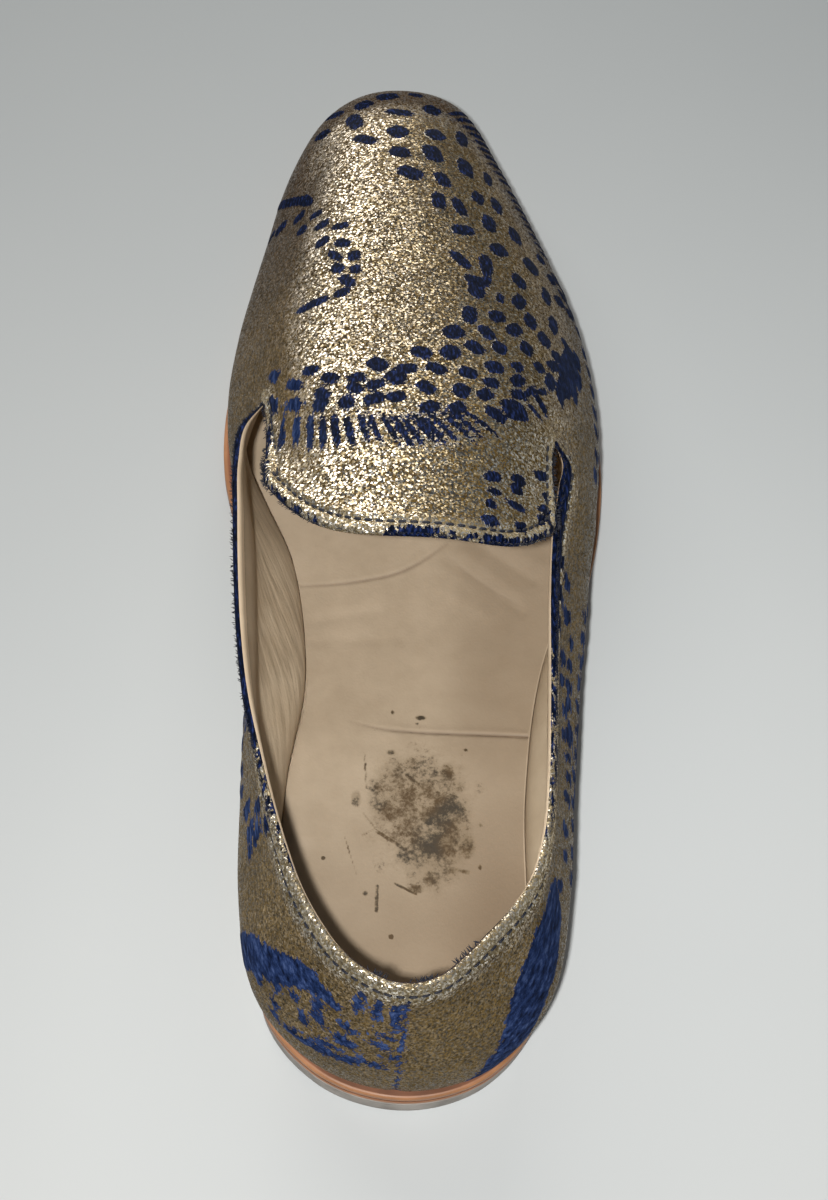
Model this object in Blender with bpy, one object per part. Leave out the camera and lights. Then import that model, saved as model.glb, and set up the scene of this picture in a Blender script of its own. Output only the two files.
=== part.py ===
"""A flat slip-on loafer of the smoking-slipper kind, for the right foot.

Four pieces: the upper (vamp, tongue and quarters in one hollow shell), the
insole, the leather outsole and the rubber heel block.
Frame: +Y to the toe, +X to the little-toe side, +Z up, the ground at z = 0 and
the middle of the shoe's length and width at x = y = 0.
"""
import bpy
import numpy as np

MM = 0.001

# Leading sizes
HEEL_END = -1.0 * MM
TOE_END = 268.0 * MM
SOLE_THICK = 4.5 * MM
HEEL_HEIGHT = 7.0 * MM
HEEL_BREAST = 70.0 * MM
WALL = 2.0 * MM
INSOLE_THICK = 3.0 * MM
SEAT_GAP = 0.3 * MM

# Grid counts of the upper: along each side of the vamp, across the toe, round
# the quarters, up the wall and along the tongue
SIDE_CELLS = 20
TOE_CELLS = 20
QUARTER_CELLS = 60
WALL_CELLS = 9
TONGUE_CELLS = 8

# Outsole edge in plan.
# Columns: distance from the heel, big-toe edge x, little-toe edge x
SOLE_EDGE = MM * np.array([
    (-1, 0.5, 0.5),
    (5, -19.5, 19.8),
    (20, -31.8, 31.0),
    (40, -34.0, 33.3),
    (70, -33.0, 34.0),
    (100, -32.5, 37.5),
    (125, -36.0, 43.5),
    (145, -42.0, 47.5),
    (160, -45.5, 48.8),
    (175, -46.0, 47.9),
    (190, -44.0, 45.2),
    (205, -41.0, 41.0),
    (220, -37.5, 35.0),
    (235, -34.0, 28.5),
    (247, -29.8, 22.8),
    (256, -25.2, 18.6),
    (262.5, -19.0, 14.2),
    (266.5, -11.8, 8.4),
    (268, -2.5, -2.5)])

# Columns: distance from the heel, height of the outsole's underside
UNDERSIDE = MM * np.array([
    (-1, 7.0), (62, 7.0), (74, 6.9), (100, 3.2), (122, 0.35), (130, 0.0),
    (195, 0.0), (203, 0.0), (225, 1.4), (250, 4.8), (268, 9.0)])

# Columns: distance from the heel, ledge of outsole outside the upper
LEDGE = MM * np.array([
    (-1, 2.0), (60, 1.7), (110, 2.0), (155, 3.2), (200, 2.2), (268, 2.2)])

# Ridge of the vamp over the closed last.
# Columns: distance from the heel, x of the ridge, height of the ridge
RIDGE = MM * np.array([
    (60, 0.0, 95.0), (85, -0.5, 86.0), (108, -1.0, 78.5), (130, -2.5, 73.5),
    (150, -3.5, 68.0), (170, -4.0, 62.0), (190, -4.0, 56.0), (210, -4.0, 50.0),
    (230, -4.0, 43.5), (246, -3.8, 37.0), (257, -3.5, 30.0)])

# Columns: distance from the heel (mm), roundness of the cross-section
SECTION = np.array([(60, 2.9), (120, 2.9), (160, 2.8), (190, 2.4), (230, 2.2), (268, 2.2)])
CROWN = 2.1

# Top edge of the quarters, from the little-toe notch round the back of the
# heel to the big-toe notch. Columns: x, distance from the heel, height
COLLAR = MM * np.array([
    (36.2, 140.5, 48.5), (35.6, 134.0, 48.2), (34.1, 123.0, 48.0), (33.1, 106.0, 48.0),
    (32.8, 92.0, 48.5), (32.4, 76.0, 49.5), (31.8, 60.0, 51.5), (30.4, 46.0, 54.0),
    (27.0, 33.5, 56.0), (21.8, 25.2, 58.0), (16.9, 19.2, 59.5), (12.2, 13.8, 60.8),
    (7.6, 9.6, 61.7), (2.0, 7.4, 62.0), (-4.0, 7.6, 61.8), (-10.0, 10.6, 60.9),
    (-16.0, 16.0, 59.5), (-20.8, 23.2, 58.0), (-24.8, 31.0, 57.0), (-28.2, 40.5, 55.8),
    (-31.2, 51.0, 54.3), (-34.2, 63.5, 52.8), (-37.2, 78.0, 51.2), (-39.2, 94.0, 50.0),
    (-40.4, 110.0, 49.0), (-41.2, 126.0, 47.6), (-41.7, 140.0, 46.6), (-40.6, 150.0, 45.8)])

# How far the wall swells outside the straight line from ledge to top edge.
# Columns: distance from the heel, big-toe side, little-toe side
SWELL = MM * np.array([
    (0, 3.2, 3.2), (15, 4.2, 4.2), (30, 5.2, 5.0), (50, 5.8, 5.8), (75, 6.0, 6.4),
    (105, 5.0, 5.6), (130, 3.2, 2.6), (160, 2.2, 2.0), (200, 2.4, 2.2), (268, 2.4, 2.4)])

# Notches where the tongue parts from the quarters: distance of the wall's foot
# from the heel, and share of the way from that foot to the ridge
NOTCH_LITTLE = (144.6 * MM, 0.237)
NOTCH_BIG = (159.3 * MM, 0.168)
TOE_CORNER = 246.0 * MM
CORNER_SHARE = 0.24
TOE_SHARE = 0.44
FAN_HEEL = 60.0 * MM
FAN_TOE = 212.0 * MM
BLEND_CELLS = 7
EDGE_CROWDING = 0.4
HEEL_BACK_HALF = 12.0 * MM

# End of the tongue: crown of its edge, half widths and how far each corner
# is rounded back, with the power of each rounding
TONGUE_CROWN = (5.0 * MM, 106.5 * MM)
TONGUE_HALF_BIG = 38.4 * MM
TONGUE_HALF_LITTLE = 27.0 * MM
TONGUE_CORNER_BIG = 21.0 * MM
TONGUE_CORNER_LITTLE = 12.0 * MM
TONGUE_POWER_BIG = 3.6
TONGUE_POWER_LITTLE = 4.0
TONGUE_DROP = 15.0 * MM
TONGUE_REACH = 33.0 * MM
TONGUE_ROUND = 2.2
TONGUE_SLIT = 1.4 * MM

# The wall is skived thin at the notches: share left there, and how far it runs
SKIVE_SHARE = 0.35
SKIVE_RUN = 12.0 * MM

# Outsole edge profile, bottom to top.
# Columns: set back from the edge (mm), share of the thickness
SOLE_PROFILE = np.array([
    (0.7, 0.0), (0.0, 0.15), (0.0, 0.50), (0.45, 0.56), (0.0, 0.62), (0.0, 0.92), (0.35, 1.0)])
SOLE_STATIONS = 54
INSOLE_STATIONS = 44
INSOLE_ROUND = 0.8 * MM

# Set-in of the insole from the wall's foot, where the lining turns under it.
# Columns: distance from the heel, big-toe side, little-toe side
INSOLE_INSET = MM * np.array([
    (-1, 2.4, 2.4), (40, 2.6, 3.6), (75, 3.6, 4.4), (105, 7.0, 4.0), (130, 7.5, 2.8),
    (160, 3.0, 2.4), (180, 2.4, 2.4), (268, 2.4, 2.4)])

# Heel block: set back from the outsole's edge at the top and the ground, and
# the wear of its outer back corner
HEEL_INSET = 0.3 * MM
HEEL_TAPER = 0.3 * MM
HEEL_SIDE_POINTS = 44
HEEL_BREAST_POINTS = 10
HEEL_HOLLOW = 4.0 * MM
HEEL_RINGS = (0.3, 0.55, 0.75, 0.9, 1.0)
WEAR_DIRECTION = (0.72, -0.69)
WEAR_START = 2.0 * MM
WEAR_LENGTH = 24.0 * MM
WEAR_DEPTH = 4.2 * MM
WEAR_LIMIT = 1.2
WEAR_POWER = 1.6

# Fineness of the worked-out curves, and the angle above which an edge shows sharp
DENSE = 1440
WALL_SAMPLES = 120
WALL_CROWDING = 2.2
EDGE_STEP = 1e-4
SHARP_ANGLE = 40.0


def smooth(t):
    """Ease from 0 to 1 with level ends."""
    t = np.clip(t, 0.0, 1.0)
    return t * t * (3.0 - 2.0 * t)


def through(xs, ys, steady=False):
    """Smooth curve through points: cubic pieces with mean slopes.

    A steady curve keeps its slopes small enough never to pass beyond its points.
    """
    xs = np.asarray(xs, float)
    ys = np.asarray(ys, float)
    slope = np.gradient(ys, xs)
    if steady:
        rise = np.diff(ys) / np.diff(xs)
        most = 2 * np.minimum(np.abs(rise[:-1]), np.abs(rise[1:])) * (rise[:-1] * rise[1:] > 0)
        slope[1:-1] = np.clip(slope[1:-1], -most, most)

    def value(x):
        x = np.asarray(x, float)
        i = np.clip(np.searchsorted(xs, x) - 1, 0, len(xs) - 2)
        h = xs[i + 1] - xs[i]
        t = np.clip((x - xs[i]) / h, 0.0, 1.0)
        ends = ys[i] * (1 + 2 * t) * (1 - t) ** 2 + ys[i + 1] * t * t * (3 - 2 * t)
        return ends + h * (slope[i] * t * (1 - t) ** 2 - slope[i + 1] * t * t * (1 - t))
    return value


def turn(y, low, high):
    """Angle whose cosine carries y from low (0) to high (pi)."""
    return np.arccos(np.clip(1.0 - 2.0 * (np.asarray(y, float) - low) / (high - low), -1.0, 1.0))


underside = through(UNDERSIDE[:, 0], UNDERSIDE[:, 1], True)
ledge = through(LEDGE[:, 0], LEDGE[:, 1], True)
roundness = through(SECTION[:, 0] * MM, SECTION[:, 1], True)
swell_big = through(SWELL[:, 0], SWELL[:, 1], True)
swell_little = through(SWELL[:, 0], SWELL[:, 2], True)
inset_big = through(INSOLE_INSET[:, 0], INSOLE_INSET[:, 1], True)
inset_little = through(INSOLE_INSET[:, 0], INSOLE_INSET[:, 2], True)


def sole_loop():
    """Outsole edge as a function of the angle round the foot, heel back at 0."""
    up = turn(SOLE_EDGE[:, 0], HEEL_END, TOE_END)
    angle = np.concatenate([up, 2 * np.pi - up[-2::-1]])
    x = np.concatenate([SOLE_EDGE[:, 2], SOLE_EDGE[-2::-1, 1]])
    angle = np.concatenate([angle[-5:-1] - 2 * np.pi, angle, angle[1:5] + 2 * np.pi])
    x = np.concatenate([x[-5:-1], x, x[1:5]])
    return through(angle, x)


sole_x = sole_loop()


def station(angle):
    """Distance from the heel at an angle round the foot."""
    return HEEL_END + (TOE_END - HEEL_END) * (1 - np.cos(angle)) / 2


def sole_edge(angle, inset):
    """Plan points of the outsole edge, moved in by inset along its normal."""
    def point(a):
        return np.stack([sole_x(np.mod(a, 2 * np.pi)), station(a)], -1)
    along = point(angle + EDGE_STEP) - point(angle - EDGE_STEP)
    out = np.stack([along[:, 1], -along[:, 0]], -1)
    out /= np.linalg.norm(out, axis=1, keepdims=True)
    inset = np.broadcast_to(np.asarray(inset, float), angle.shape)
    return point(angle) - out * inset[:, None], out


ANGLES = np.arange(DENSE + 1) * (2 * np.pi / DENSE)
PLAIN_EDGE, OUTWARD = sole_edge(ANGLES, 0.0)
FOOT = PLAIN_EDGE - OUTWARD * ledge(PLAIN_EDGE[:, 1])[:, None]
FOOT_LENGTH = np.concatenate([[0.0], np.cumsum(np.linalg.norm(np.diff(FOOT, axis=0), axis=1))])
BACK = FOOT[0, 1]
FRONT = FOOT[DENSE // 2, 1]
LITTLE = FOOT[:DENSE // 2 + 1]
BIG = FOOT[:DENSE // 2 - 1:-1]

ridge_turn = np.concatenate([turn(RIDGE[:, 0], BACK, FRONT), [np.pi]])
ridge_x = through(ridge_turn, np.append(RIDGE[:, 1], FOOT[DENSE // 2, 0]))
ridge_z = through(ridge_turn, np.append(RIDGE[:, 2], underside(FRONT) + SOLE_THICK + SEAT_GAP))


def foot_z(y):
    """Height of the wall's foot: just above the outsole."""
    return underside(y) + SOLE_THICK + SEAT_GAP


def last_z(plan):
    """Height of the vamp: from ridge down to foot by a rounded cross-section."""
    y = plan[..., 1]
    a = turn(y, BACK, FRONT)
    middle = ridge_x(a)
    little = np.interp(a, turn(LITTLE[:, 1], BACK, FRONT), LITTLE[:, 0])
    big = np.interp(a, turn(BIG[:, 1], BACK, FRONT), BIG[:, 0])
    off = plan[..., 0] - middle
    half = np.where(off > 0, little - middle, middle - big)
    share = np.clip(np.abs(off) / np.maximum(half, 1e-7), 0.0, 1.0)
    low = foot_z(y)
    return low + (ridge_z(a) - low) * (1 - share ** roundness(y)) ** (1 / CROWN)


def ridge_foot(foot):
    """Plan point on the ridge that a wall's foot fans in to."""
    y = FAN_HEEL + (FAN_TOE - FAN_HEEL) * (foot[..., 1] - BACK) / (FRONT - BACK)
    return np.stack([ridge_x(turn(y, BACK, FRONT)), y], -1)


def even(points, counts):
    """Resample a polyline to counts equal lengths."""
    run = np.concatenate([[0.0], np.cumsum(np.linalg.norm(np.diff(points, axis=0), axis=1))])
    at = np.linspace(0.0, run[-1], counts + 1)
    return np.stack([np.interp(at, run, points[:, c]) for c in range(points.shape[1])], -1)


def length_at(y, little):
    """Length round the wall's foot, from the heel back, at a distance y on a side."""
    side = slice(0, DENSE // 2 + 1) if little else slice(DENSE, DENSE // 2 - 1, -1)
    return np.interp(y, FOOT[side, 1], FOOT_LENGTH[side])


def foot_at(length):
    """Foot point and outward direction at a length round the foot."""
    run = np.mod(length, FOOT_LENGTH[-1])
    point = np.stack([np.interp(run, FOOT_LENGTH, FOOT[:, c]) for c in range(2)], -1)
    out = np.stack([np.interp(run, FOOT_LENGTH, OUTWARD[:, c]) for c in range(2)], -1)
    return point, out / np.linalg.norm(out, axis=1, keepdims=True)


def wall_swell(t, foot, out, little):
    """Outward swell of a wall at shares t of its height: most at a third, ends level."""
    amount = np.where(little, swell_little(foot[:, 1]), swell_big(foot[:, 1]))
    shape = 27 / 4 * t * (1 - t) ** 2
    return shape[None, :, None] * amount[:, None, None] * out[:, None, :]


def vamp_wall(foot, out, share, little, cells):
    """Walls on the last: each runs from its foot a share of the way to the ridge."""
    goal = ridge_foot(foot)
    fine = np.linspace(0.0, 1.0, WALL_SAMPLES) ** WALL_CROWDING
    plan = foot[:, None, :] + (goal - foot)[:, None, :] * (fine[None, :] * share[:, None])[..., None]
    curve = np.concatenate([plan, last_z(plan)[..., None]], -1)
    wall = np.stack([even(c, cells) for c in curve])
    t = np.linspace(0.0, 1.0, cells + 1)
    wall[..., :2] += wall_swell(t, foot, out, little)
    return wall


def quarter_wall(foot, out, top, little, cells):
    """Walls of the quarters: lean in late from foot to top edge, with a swell."""
    t = np.linspace(0.0, 1.0, cells + 1)
    lean = (t * t)[None, :, None]
    wall = np.empty((len(foot), cells + 1, 3))
    wall[..., :2] = foot[:, None, :] * (1 - lean) + top[:, None, :2] * lean
    wall[..., :2] += wall_swell(t, foot, out, little)
    low = foot_z(foot[:, 1])[:, None]
    wall[..., 2] = low + (top[:, 2][:, None] - low) * t[None, :]
    return wall


def upper_surface(side, toe, quarter, cells, tongue):
    """Outside of the upper: points and four-sided faces, all turned outward.

    A strip of walls runs right round the foot. In front it meets the vamp's
    top, a patch stretched between the strip's edges and lifted onto the last;
    behind the notches that patch runs on as the tongue and the strip is free.
    """
    start = length_at(NOTCH_LITTLE[0], True)
    corner_l = length_at(TOE_CORNER, True)
    corner_b = length_at(TOE_CORNER, False)
    stop = length_at(NOTCH_BIG[0], False)
    back = FOOT_LENGTH[-1]
    half = quarter // 2
    lengths = np.concatenate([
        np.linspace(start, corner_l, side + 1)[:-1],
        np.linspace(corner_l, corner_b, toe + 1)[:-1],
        np.linspace(corner_b, stop, side + 1)[:-1],
        np.linspace(stop, back, half + 1)[:-1],
        np.linspace(back, back + start, quarter - half + 1)[:-1]])
    count = len(lengths)
    front = 2 * side + toe
    foot, out = foot_at(lengths)
    little = np.mod(lengths, back) < FOOT_LENGTH[DENSE // 2]

    rise = smooth(np.arange(side) / side)
    share = np.concatenate([
        NOTCH_LITTLE[1] + (CORNER_SHARE - NOTCH_LITTLE[1]) * rise,
        CORNER_SHARE + (TOE_SHARE - CORNER_SHARE) * np.sin(np.pi * np.arange(toe + 1) / toe) ** 2,
        (NOTCH_BIG[1] + (CORNER_SHARE - NOTCH_BIG[1]) * rise)[:0:-1],
        np.full(half, NOTCH_BIG[1]),
        np.full(quarter - half, NOTCH_LITTLE[1])])
    strip = vamp_wall(foot, out, share, little, cells)

    notch_b = strip[front, -1]
    notch_l = strip[0, -1]
    top = np.concatenate([[notch_l], COLLAR, [notch_b]])[::-1]
    middle = int(np.argmin(np.where(np.abs(top[:, 0]) < HEEL_BACK_HALF, top[:, 1], TOE_END)))
    run = np.concatenate([[0.0], np.cumsum(np.linalg.norm(np.diff(top, axis=0), axis=1))])
    line = [through(run, top[:, c]) for c in range(3)]
    at = np.concatenate([
        np.linspace(0.0, run[middle], half + 1)[:-1],
        np.linspace(run[middle], run[-1], quarter - half + 1)[:-1]])
    rear = slice(front, count)
    edge = np.stack([c(at) for c in line], -1)
    free = quarter_wall(foot[rear], out[rear], edge, little[rear], cells)
    cell = np.arange(quarter)
    reach = BLEND_CELLS * quarter / QUARTER_CELLS
    mix = smooth(cell / reach) * smooth((quarter - cell) / reach)
    blend = mix[:, None, None]
    t = np.linspace(0.0, 1.0, cells + 1)
    bent = strip[rear] + (edge - strip[rear, -1])[:, None, :] * (t ** 2)[None, :, None]
    strip[rear] = bent * (1 - blend) + free * blend

    ring = np.arange(count * (cells + 1)).reshape(count, cells + 1)
    points = [strip.reshape(-1, 3)]
    rows = side + tongue
    patch = np.empty((rows + 1, toe + 1), int)
    patch[0] = ring[side:side + toe + 1, -1]
    patch[:side + 1, 0] = ring[side::-1, -1]
    patch[:side + 1, -1] = ring[side + toe:front + 1, -1]
    fresh = count * (cells + 1)
    inner = patch[1:side, 1:-1]
    inner[...] = fresh + np.arange(inner.size).reshape(inner.shape)
    rear_row = patch[side, 1:-1]
    rear_row[...] = fresh + inner.size + np.arange(toe - 1)
    tail = patch[side + 1:]
    tail[...] = fresh + inner.size + toe - 1 + np.arange(tail.size).reshape(tail.shape)

    u = np.linspace(0.0, 1.0, toe + 1)
    v = np.linspace(0.0, 1.0, side + 1)
    flat = points[0][:, :2]
    first = flat[patch[0]]
    left = flat[patch[:side + 1, 0]]
    right = flat[patch[:side + 1, -1]]
    spread = (1 - EDGE_CROWDING) * u + EDGE_CROWDING * (1 - np.cos(np.pi * u)) / 2
    last = left[-1] + (right[-1] - left[-1]) * spread[:, None]
    uu = u[None, :, None]
    vv = v[:, None, None]
    plan = (1 - vv) * first[None] + vv * last[None] + (1 - uu) * left[:, None] + uu * right[:, None]
    plan -= (1 - vv) * ((1 - uu) * first[0] + uu * first[-1])
    plan -= vv * ((1 - uu) * last[0] + uu * last[-1])
    vamp = np.concatenate([plan, last_z(plan)[..., None]], -1)
    points.append(vamp[1:side, 1:-1].reshape(-1, 3))
    points.append(vamp[side, 1:-1])

    across = 1 - 2 * spread
    wide = np.where(across > 0, TONGUE_HALF_LITTLE, TONGUE_HALF_BIG)
    power = np.where(across > 0, TONGUE_POWER_LITTLE, TONGUE_POWER_BIG)
    corner = np.where(across > 0, TONGUE_CORNER_LITTLE, TONGUE_CORNER_BIG)
    end = np.stack([TONGUE_CROWN[0] + wide * across,
                    TONGUE_CROWN[1] + corner * np.abs(across) ** power], -1)
    w = (np.arange(1, tongue + 1) / tongue)[:, None]
    flap = last[None] * (1 - w[..., None]) + end[None] * w[..., None]
    flap[..., 0] -= TONGUE_SLIT * (1 - (1 - w) ** 6) * (1 - w) * across ** 3
    a = turn(flap[..., 1], BACK, FRONT)
    arch = ridge_z(a) - TONGUE_DROP * (np.abs(flap[..., 0] - ridge_x(a)) / TONGUE_REACH) ** TONGUE_ROUND
    lift = smooth(w)
    height = last_z(flap) * (1 - lift) + arch * lift
    points.append(np.concatenate([flap, height[..., None]], -1).reshape(-1, 3))

    after = np.roll(ring, -1, axis=0)
    walls = np.stack([ring[:, :-1], after[:, :-1], after[:, 1:], ring[:, 1:]], -1).reshape(-1, 4)
    tops = np.stack([patch[:-1, :-1], patch[:-1, 1:], patch[1:, 1:], patch[1:, :-1]], -1)
    quads = np.concatenate([walls, tops.reshape(-1, 4)])
    return np.concatenate(points), quads, ring[:, 0], np.stack([notch_l, notch_b])


def point_normals(points, quads):
    """Mean outward direction of the faces round each point."""
    d1 = points[quads[:, 2]] - points[quads[:, 0]]
    d2 = points[quads[:, 3]] - points[quads[:, 1]]
    face = np.cross(d1, d2)
    total = np.zeros_like(points)
    for corner in range(4):
        np.add.at(total, quads[:, corner], face)
    return total / np.linalg.norm(total, axis=1, keepdims=True)


def thicken(points, quads, level, notches):
    """Shell: the surface, a copy set in by the wall's thickness, and the rims between.

    The points listed in level keep their height, so that rim stays flat; the
    wall thins towards the notches.
    """
    near = np.linalg.norm(points[:, None] - notches[None], axis=2).min(axis=1)
    thickness = WALL * (SKIVE_SHARE + (1 - SKIVE_SHARE) * smooth(near / SKIVE_RUN))
    inner = points - point_normals(points, quads) * thickness[:, None]
    inner[level, 2] = points[level, 2]
    n = len(points)
    edges = np.concatenate([quads[:, [0, 1]], quads[:, [1, 2]], quads[:, [2, 3]], quads[:, [3, 0]]])
    key = edges[:, 0] * n + edges[:, 1]
    free = edges[~np.isin(key, edges[:, 1] * n + edges[:, 0])]
    rims = np.stack([free[:, 1], free[:, 0], free[:, 0] + n, free[:, 1] + n], -1)
    faces = np.concatenate([quads, quads[:, ::-1] + n, rims])
    return np.concatenate([points, inner]), faces.tolist()


def slab(stations, insets, heights):
    """Plate with the outsole's plan: rings of its edge, capped across the foot.

    One ring per inset, each lifted by its height function; the caps join the
    points that face each other across the foot.
    """
    angle = np.arange(2 * stations) * (np.pi / stations)
    count = 2 * stations
    points = []
    for inset, height in zip(insets, heights):
        plan, _ = sole_edge(angle, inset(angle))
        points.append(np.column_stack([plan, height(plan[:, 1])]))
    faces = []
    for r in range(len(insets) - 1):
        for i in range(count):
            j = (i + 1) % count
            faces.append((r * count + i, r * count + j, (r + 1) * count + j, (r + 1) * count + i))
    top = (len(insets) - 1) * count
    for i in range(stations):
        far = (count - i) % count
        near = count - i - 1
        ring = [i, i + 1, near, far]
        ring = [p for k, p in enumerate(ring) if p not in ring[:k]]
        faces.append([top + p for p in ring])
        faces.append(ring[::-1])
    return np.concatenate(points), faces


def outsole_shape():
    """Leather sole: plan edge, arched underside, one groove along its side."""
    insets = [lambda a, s=s: np.full(a.shape, s * MM) for s in SOLE_PROFILE[:, 0]]
    heights = [lambda y, f=f: underside(y) + SOLE_THICK * f for f in SOLE_PROFILE[:, 1]]
    return slab(SOLE_STATIONS, insets, heights)


def insole_shape():
    """Sock board: the wall's foot line set in, resting just above the outsole."""
    def inset(extra):
        return lambda a: ledge(station(a)) + extra + np.where(
            a < np.pi, inset_little(station(a)), inset_big(station(a)))

    def lifted(h):
        return lambda y: underside(y) + SOLE_THICK + SEAT_GAP + h
    insets = [inset(0.0), inset(0.0), inset(INSOLE_ROUND)]
    heights = [lifted(0.0), lifted(INSOLE_THICK - INSOLE_ROUND), lifted(INSOLE_THICK)]
    return slab(INSOLE_STATIONS, insets, heights)


def heel_shape():
    """Rubber block: the outsole's heel, cut off at a hollow breast, worn behind."""
    limit = turn(HEEL_BREAST, HEEL_END, TOE_END)
    angle = np.linspace(-limit, limit, HEEL_SIDE_POINTS + 1)
    loops = []
    for inset in (HEEL_INSET, HEEL_INSET + HEEL_TAPER):
        side, _ = sole_edge(angle, inset)
        t = np.linspace(0.0, 1.0, HEEL_BREAST_POINTS + 1)[1:-1, None]
        breast = side[-1] * (1 - t) + side[0] * t
        breast[:, 1] -= HEEL_HOLLOW * 4 * t[:, 0] * (1 - t[:, 0])
        loops.append(np.concatenate([side, breast]))
    count = len(loops[0])
    middle = np.array([0.0, HEEL_BREAST / 2])
    rings = [middle + (loops[1] - middle) * share for share in HEEL_RINGS]
    flat = np.concatenate([[middle]] + rings)
    way = flat[:, 0] * WEAR_DIRECTION[0] + flat[:, 1] * WEAR_DIRECTION[1] - WEAR_START
    worn = WEAR_DEPTH * np.clip(way / WEAR_LENGTH, 0.0, WEAR_LIMIT) ** WEAR_POWER
    below = np.column_stack([flat, worn])
    above = np.column_stack([loops[0], np.full(count, HEEL_HEIGHT - SEAT_GAP)])
    crown = np.array([[*middle, HEEL_HEIGHT - SEAT_GAP]])
    points = np.concatenate([below, above, crown])
    faces = []
    first_top = len(below)
    peak = len(points) - 1
    outer = 1 + (len(HEEL_RINGS) - 1) * count
    for i in range(count):
        j = (i + 1) % count
        faces.append((0, 1 + j, 1 + i))
        for r in range(len(HEEL_RINGS) - 1):
            a = 1 + r * count
            b = a + count
            faces.append((a + i, a + j, b + j, b + i))
        faces.append((outer + i, outer + j, first_top + j, first_top + i))
        faces.append((first_top + i, first_top + j, peak))
    return points, faces


def material(name, colour, roughness, metallic):
    """Plain surface with a base colour."""
    mat = bpy.data.materials.new(name)
    mat.use_nodes = True
    node = mat.node_tree.nodes["Principled BSDF"]
    node.inputs["Base Color"].default_value = (*colour, 1.0)
    node.inputs["Roughness"].default_value = roughness
    node.inputs["Metallic"].default_value = metallic
    return mat


def solid(name, points, faces, mat):
    """Object from points and faces, smooth shaded."""
    mesh = bpy.data.meshes.new(name)
    mesh.from_pydata(points.tolist(), [], [list(f) for f in faces])
    mesh.polygons.foreach_set("use_smooth", [True] * len(mesh.polygons))
    mesh.set_sharp_from_angle(angle=np.radians(SHARP_ANGLE))
    mesh.materials.append(mat)
    mesh.update()
    thing = bpy.data.objects.new(name, mesh)
    bpy.context.scene.collection.objects.link(thing)
    return thing


for old in list(bpy.data.objects):
    bpy.data.objects.remove(old, do_unlink=True)

shapes = {
    "upper": thicken(*upper_surface(SIDE_CELLS, TOE_CELLS, QUARTER_CELLS, WALL_CELLS, TONGUE_CELLS)),
    "insole": insole_shape(),
    "outsole": outsole_shape(),
    "heel": heel_shape(),
}
finish = {
    "upper": material("gold_brocade", (0.34, 0.25, 0.12), 0.42, 0.35),
    "insole": material("beige_leather", (0.50, 0.38, 0.27), 0.6, 0.0),
    "outsole": material("tan_leather", (0.42, 0.20, 0.09), 0.5, 0.0),
    "heel": material("grey_rubber", (0.52, 0.50, 0.46), 0.75, 0.0),
}
every = np.concatenate([points for points, _ in shapes.values()])
centre = (every.min(axis=0) + every.max(axis=0)) / 2
centre[2] = 0.0
for name, (points, faces) in shapes.items():
    solid(name, points - centre, faces, finish[name])
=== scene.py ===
from functools import partial

import bpy
import numpy as np
from mathutils import Matrix, Vector


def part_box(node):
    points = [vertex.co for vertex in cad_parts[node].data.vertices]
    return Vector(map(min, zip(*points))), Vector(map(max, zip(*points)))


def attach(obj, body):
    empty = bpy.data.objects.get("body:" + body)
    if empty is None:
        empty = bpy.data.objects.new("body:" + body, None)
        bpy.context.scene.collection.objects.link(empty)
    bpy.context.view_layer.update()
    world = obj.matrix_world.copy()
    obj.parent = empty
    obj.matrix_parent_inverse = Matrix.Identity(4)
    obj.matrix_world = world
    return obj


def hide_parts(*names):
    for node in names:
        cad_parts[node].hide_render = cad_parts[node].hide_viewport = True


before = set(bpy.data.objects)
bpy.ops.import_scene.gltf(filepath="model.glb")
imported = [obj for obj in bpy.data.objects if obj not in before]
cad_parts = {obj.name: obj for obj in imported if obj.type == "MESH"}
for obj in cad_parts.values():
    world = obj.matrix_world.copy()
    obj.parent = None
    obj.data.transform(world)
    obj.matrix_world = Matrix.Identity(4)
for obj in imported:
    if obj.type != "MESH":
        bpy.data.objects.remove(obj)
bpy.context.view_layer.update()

MM = 0.001

# Leading sizes
HEEL_END = -1.0 * MM
TOE_END = 268.0 * MM
SOLE_THICK = 4.5 * MM
HEEL_HEIGHT = 7.0 * MM
HEEL_BREAST = 70.0 * MM
WALL = 2.0 * MM
INSOLE_THICK = 3.0 * MM
SEAT_GAP = 0.3 * MM

# Grid counts of the upper: along each side of the vamp, across the toe, round
# the front, round the quarters, up the wall, along the tongue, over the folded
# edge, and the rows of that edge that are cloth
SIDE_CELLS = 110
TOE_CELLS = 100
FRONT_CELLS = 2 * SIDE_CELLS + TOE_CELLS
QUARTER_CELLS = 330
WALL_CELLS = 46
TONGUE_CELLS = 42
FOLD_CELLS = 8
CLOTH_ROWS = 5

# Outsole edge in plan.
# Columns: distance from the heel, big-toe edge x, little-toe edge x
SOLE_EDGE = MM * np.array([
    (-1, 0.5, 0.5), (5, -19.5, 19.8), (20, -31.8, 31), (40, -34, 33.3), (70, -33, 34),
    (100, -32.5, 37.5), (125, -36, 43.5), (145, -42, 47.5), (160, -45.5, 48.8), (175, -46, 47.9),
    (190, -44, 45.2), (205, -41, 41), (220, -37.5, 35), (235, -34, 28.5), (247, -29.8, 22.8),
    (256, -25.2, 18.6), (262.5, -19, 14.2), (266.5, -11.8, 8.4), (268, -2.5, -2.5)])

# Columns: distance from the heel, height of the outsole's underside
UNDERSIDE = MM * np.array([
    (-1, 7), (62, 7), (74, 6.9), (100, 3.2), (122, 0.35), (130, 0), (195, 0), (203, 0),
    (225, 1.4), (250, 4.8), (268, 9)])

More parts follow.
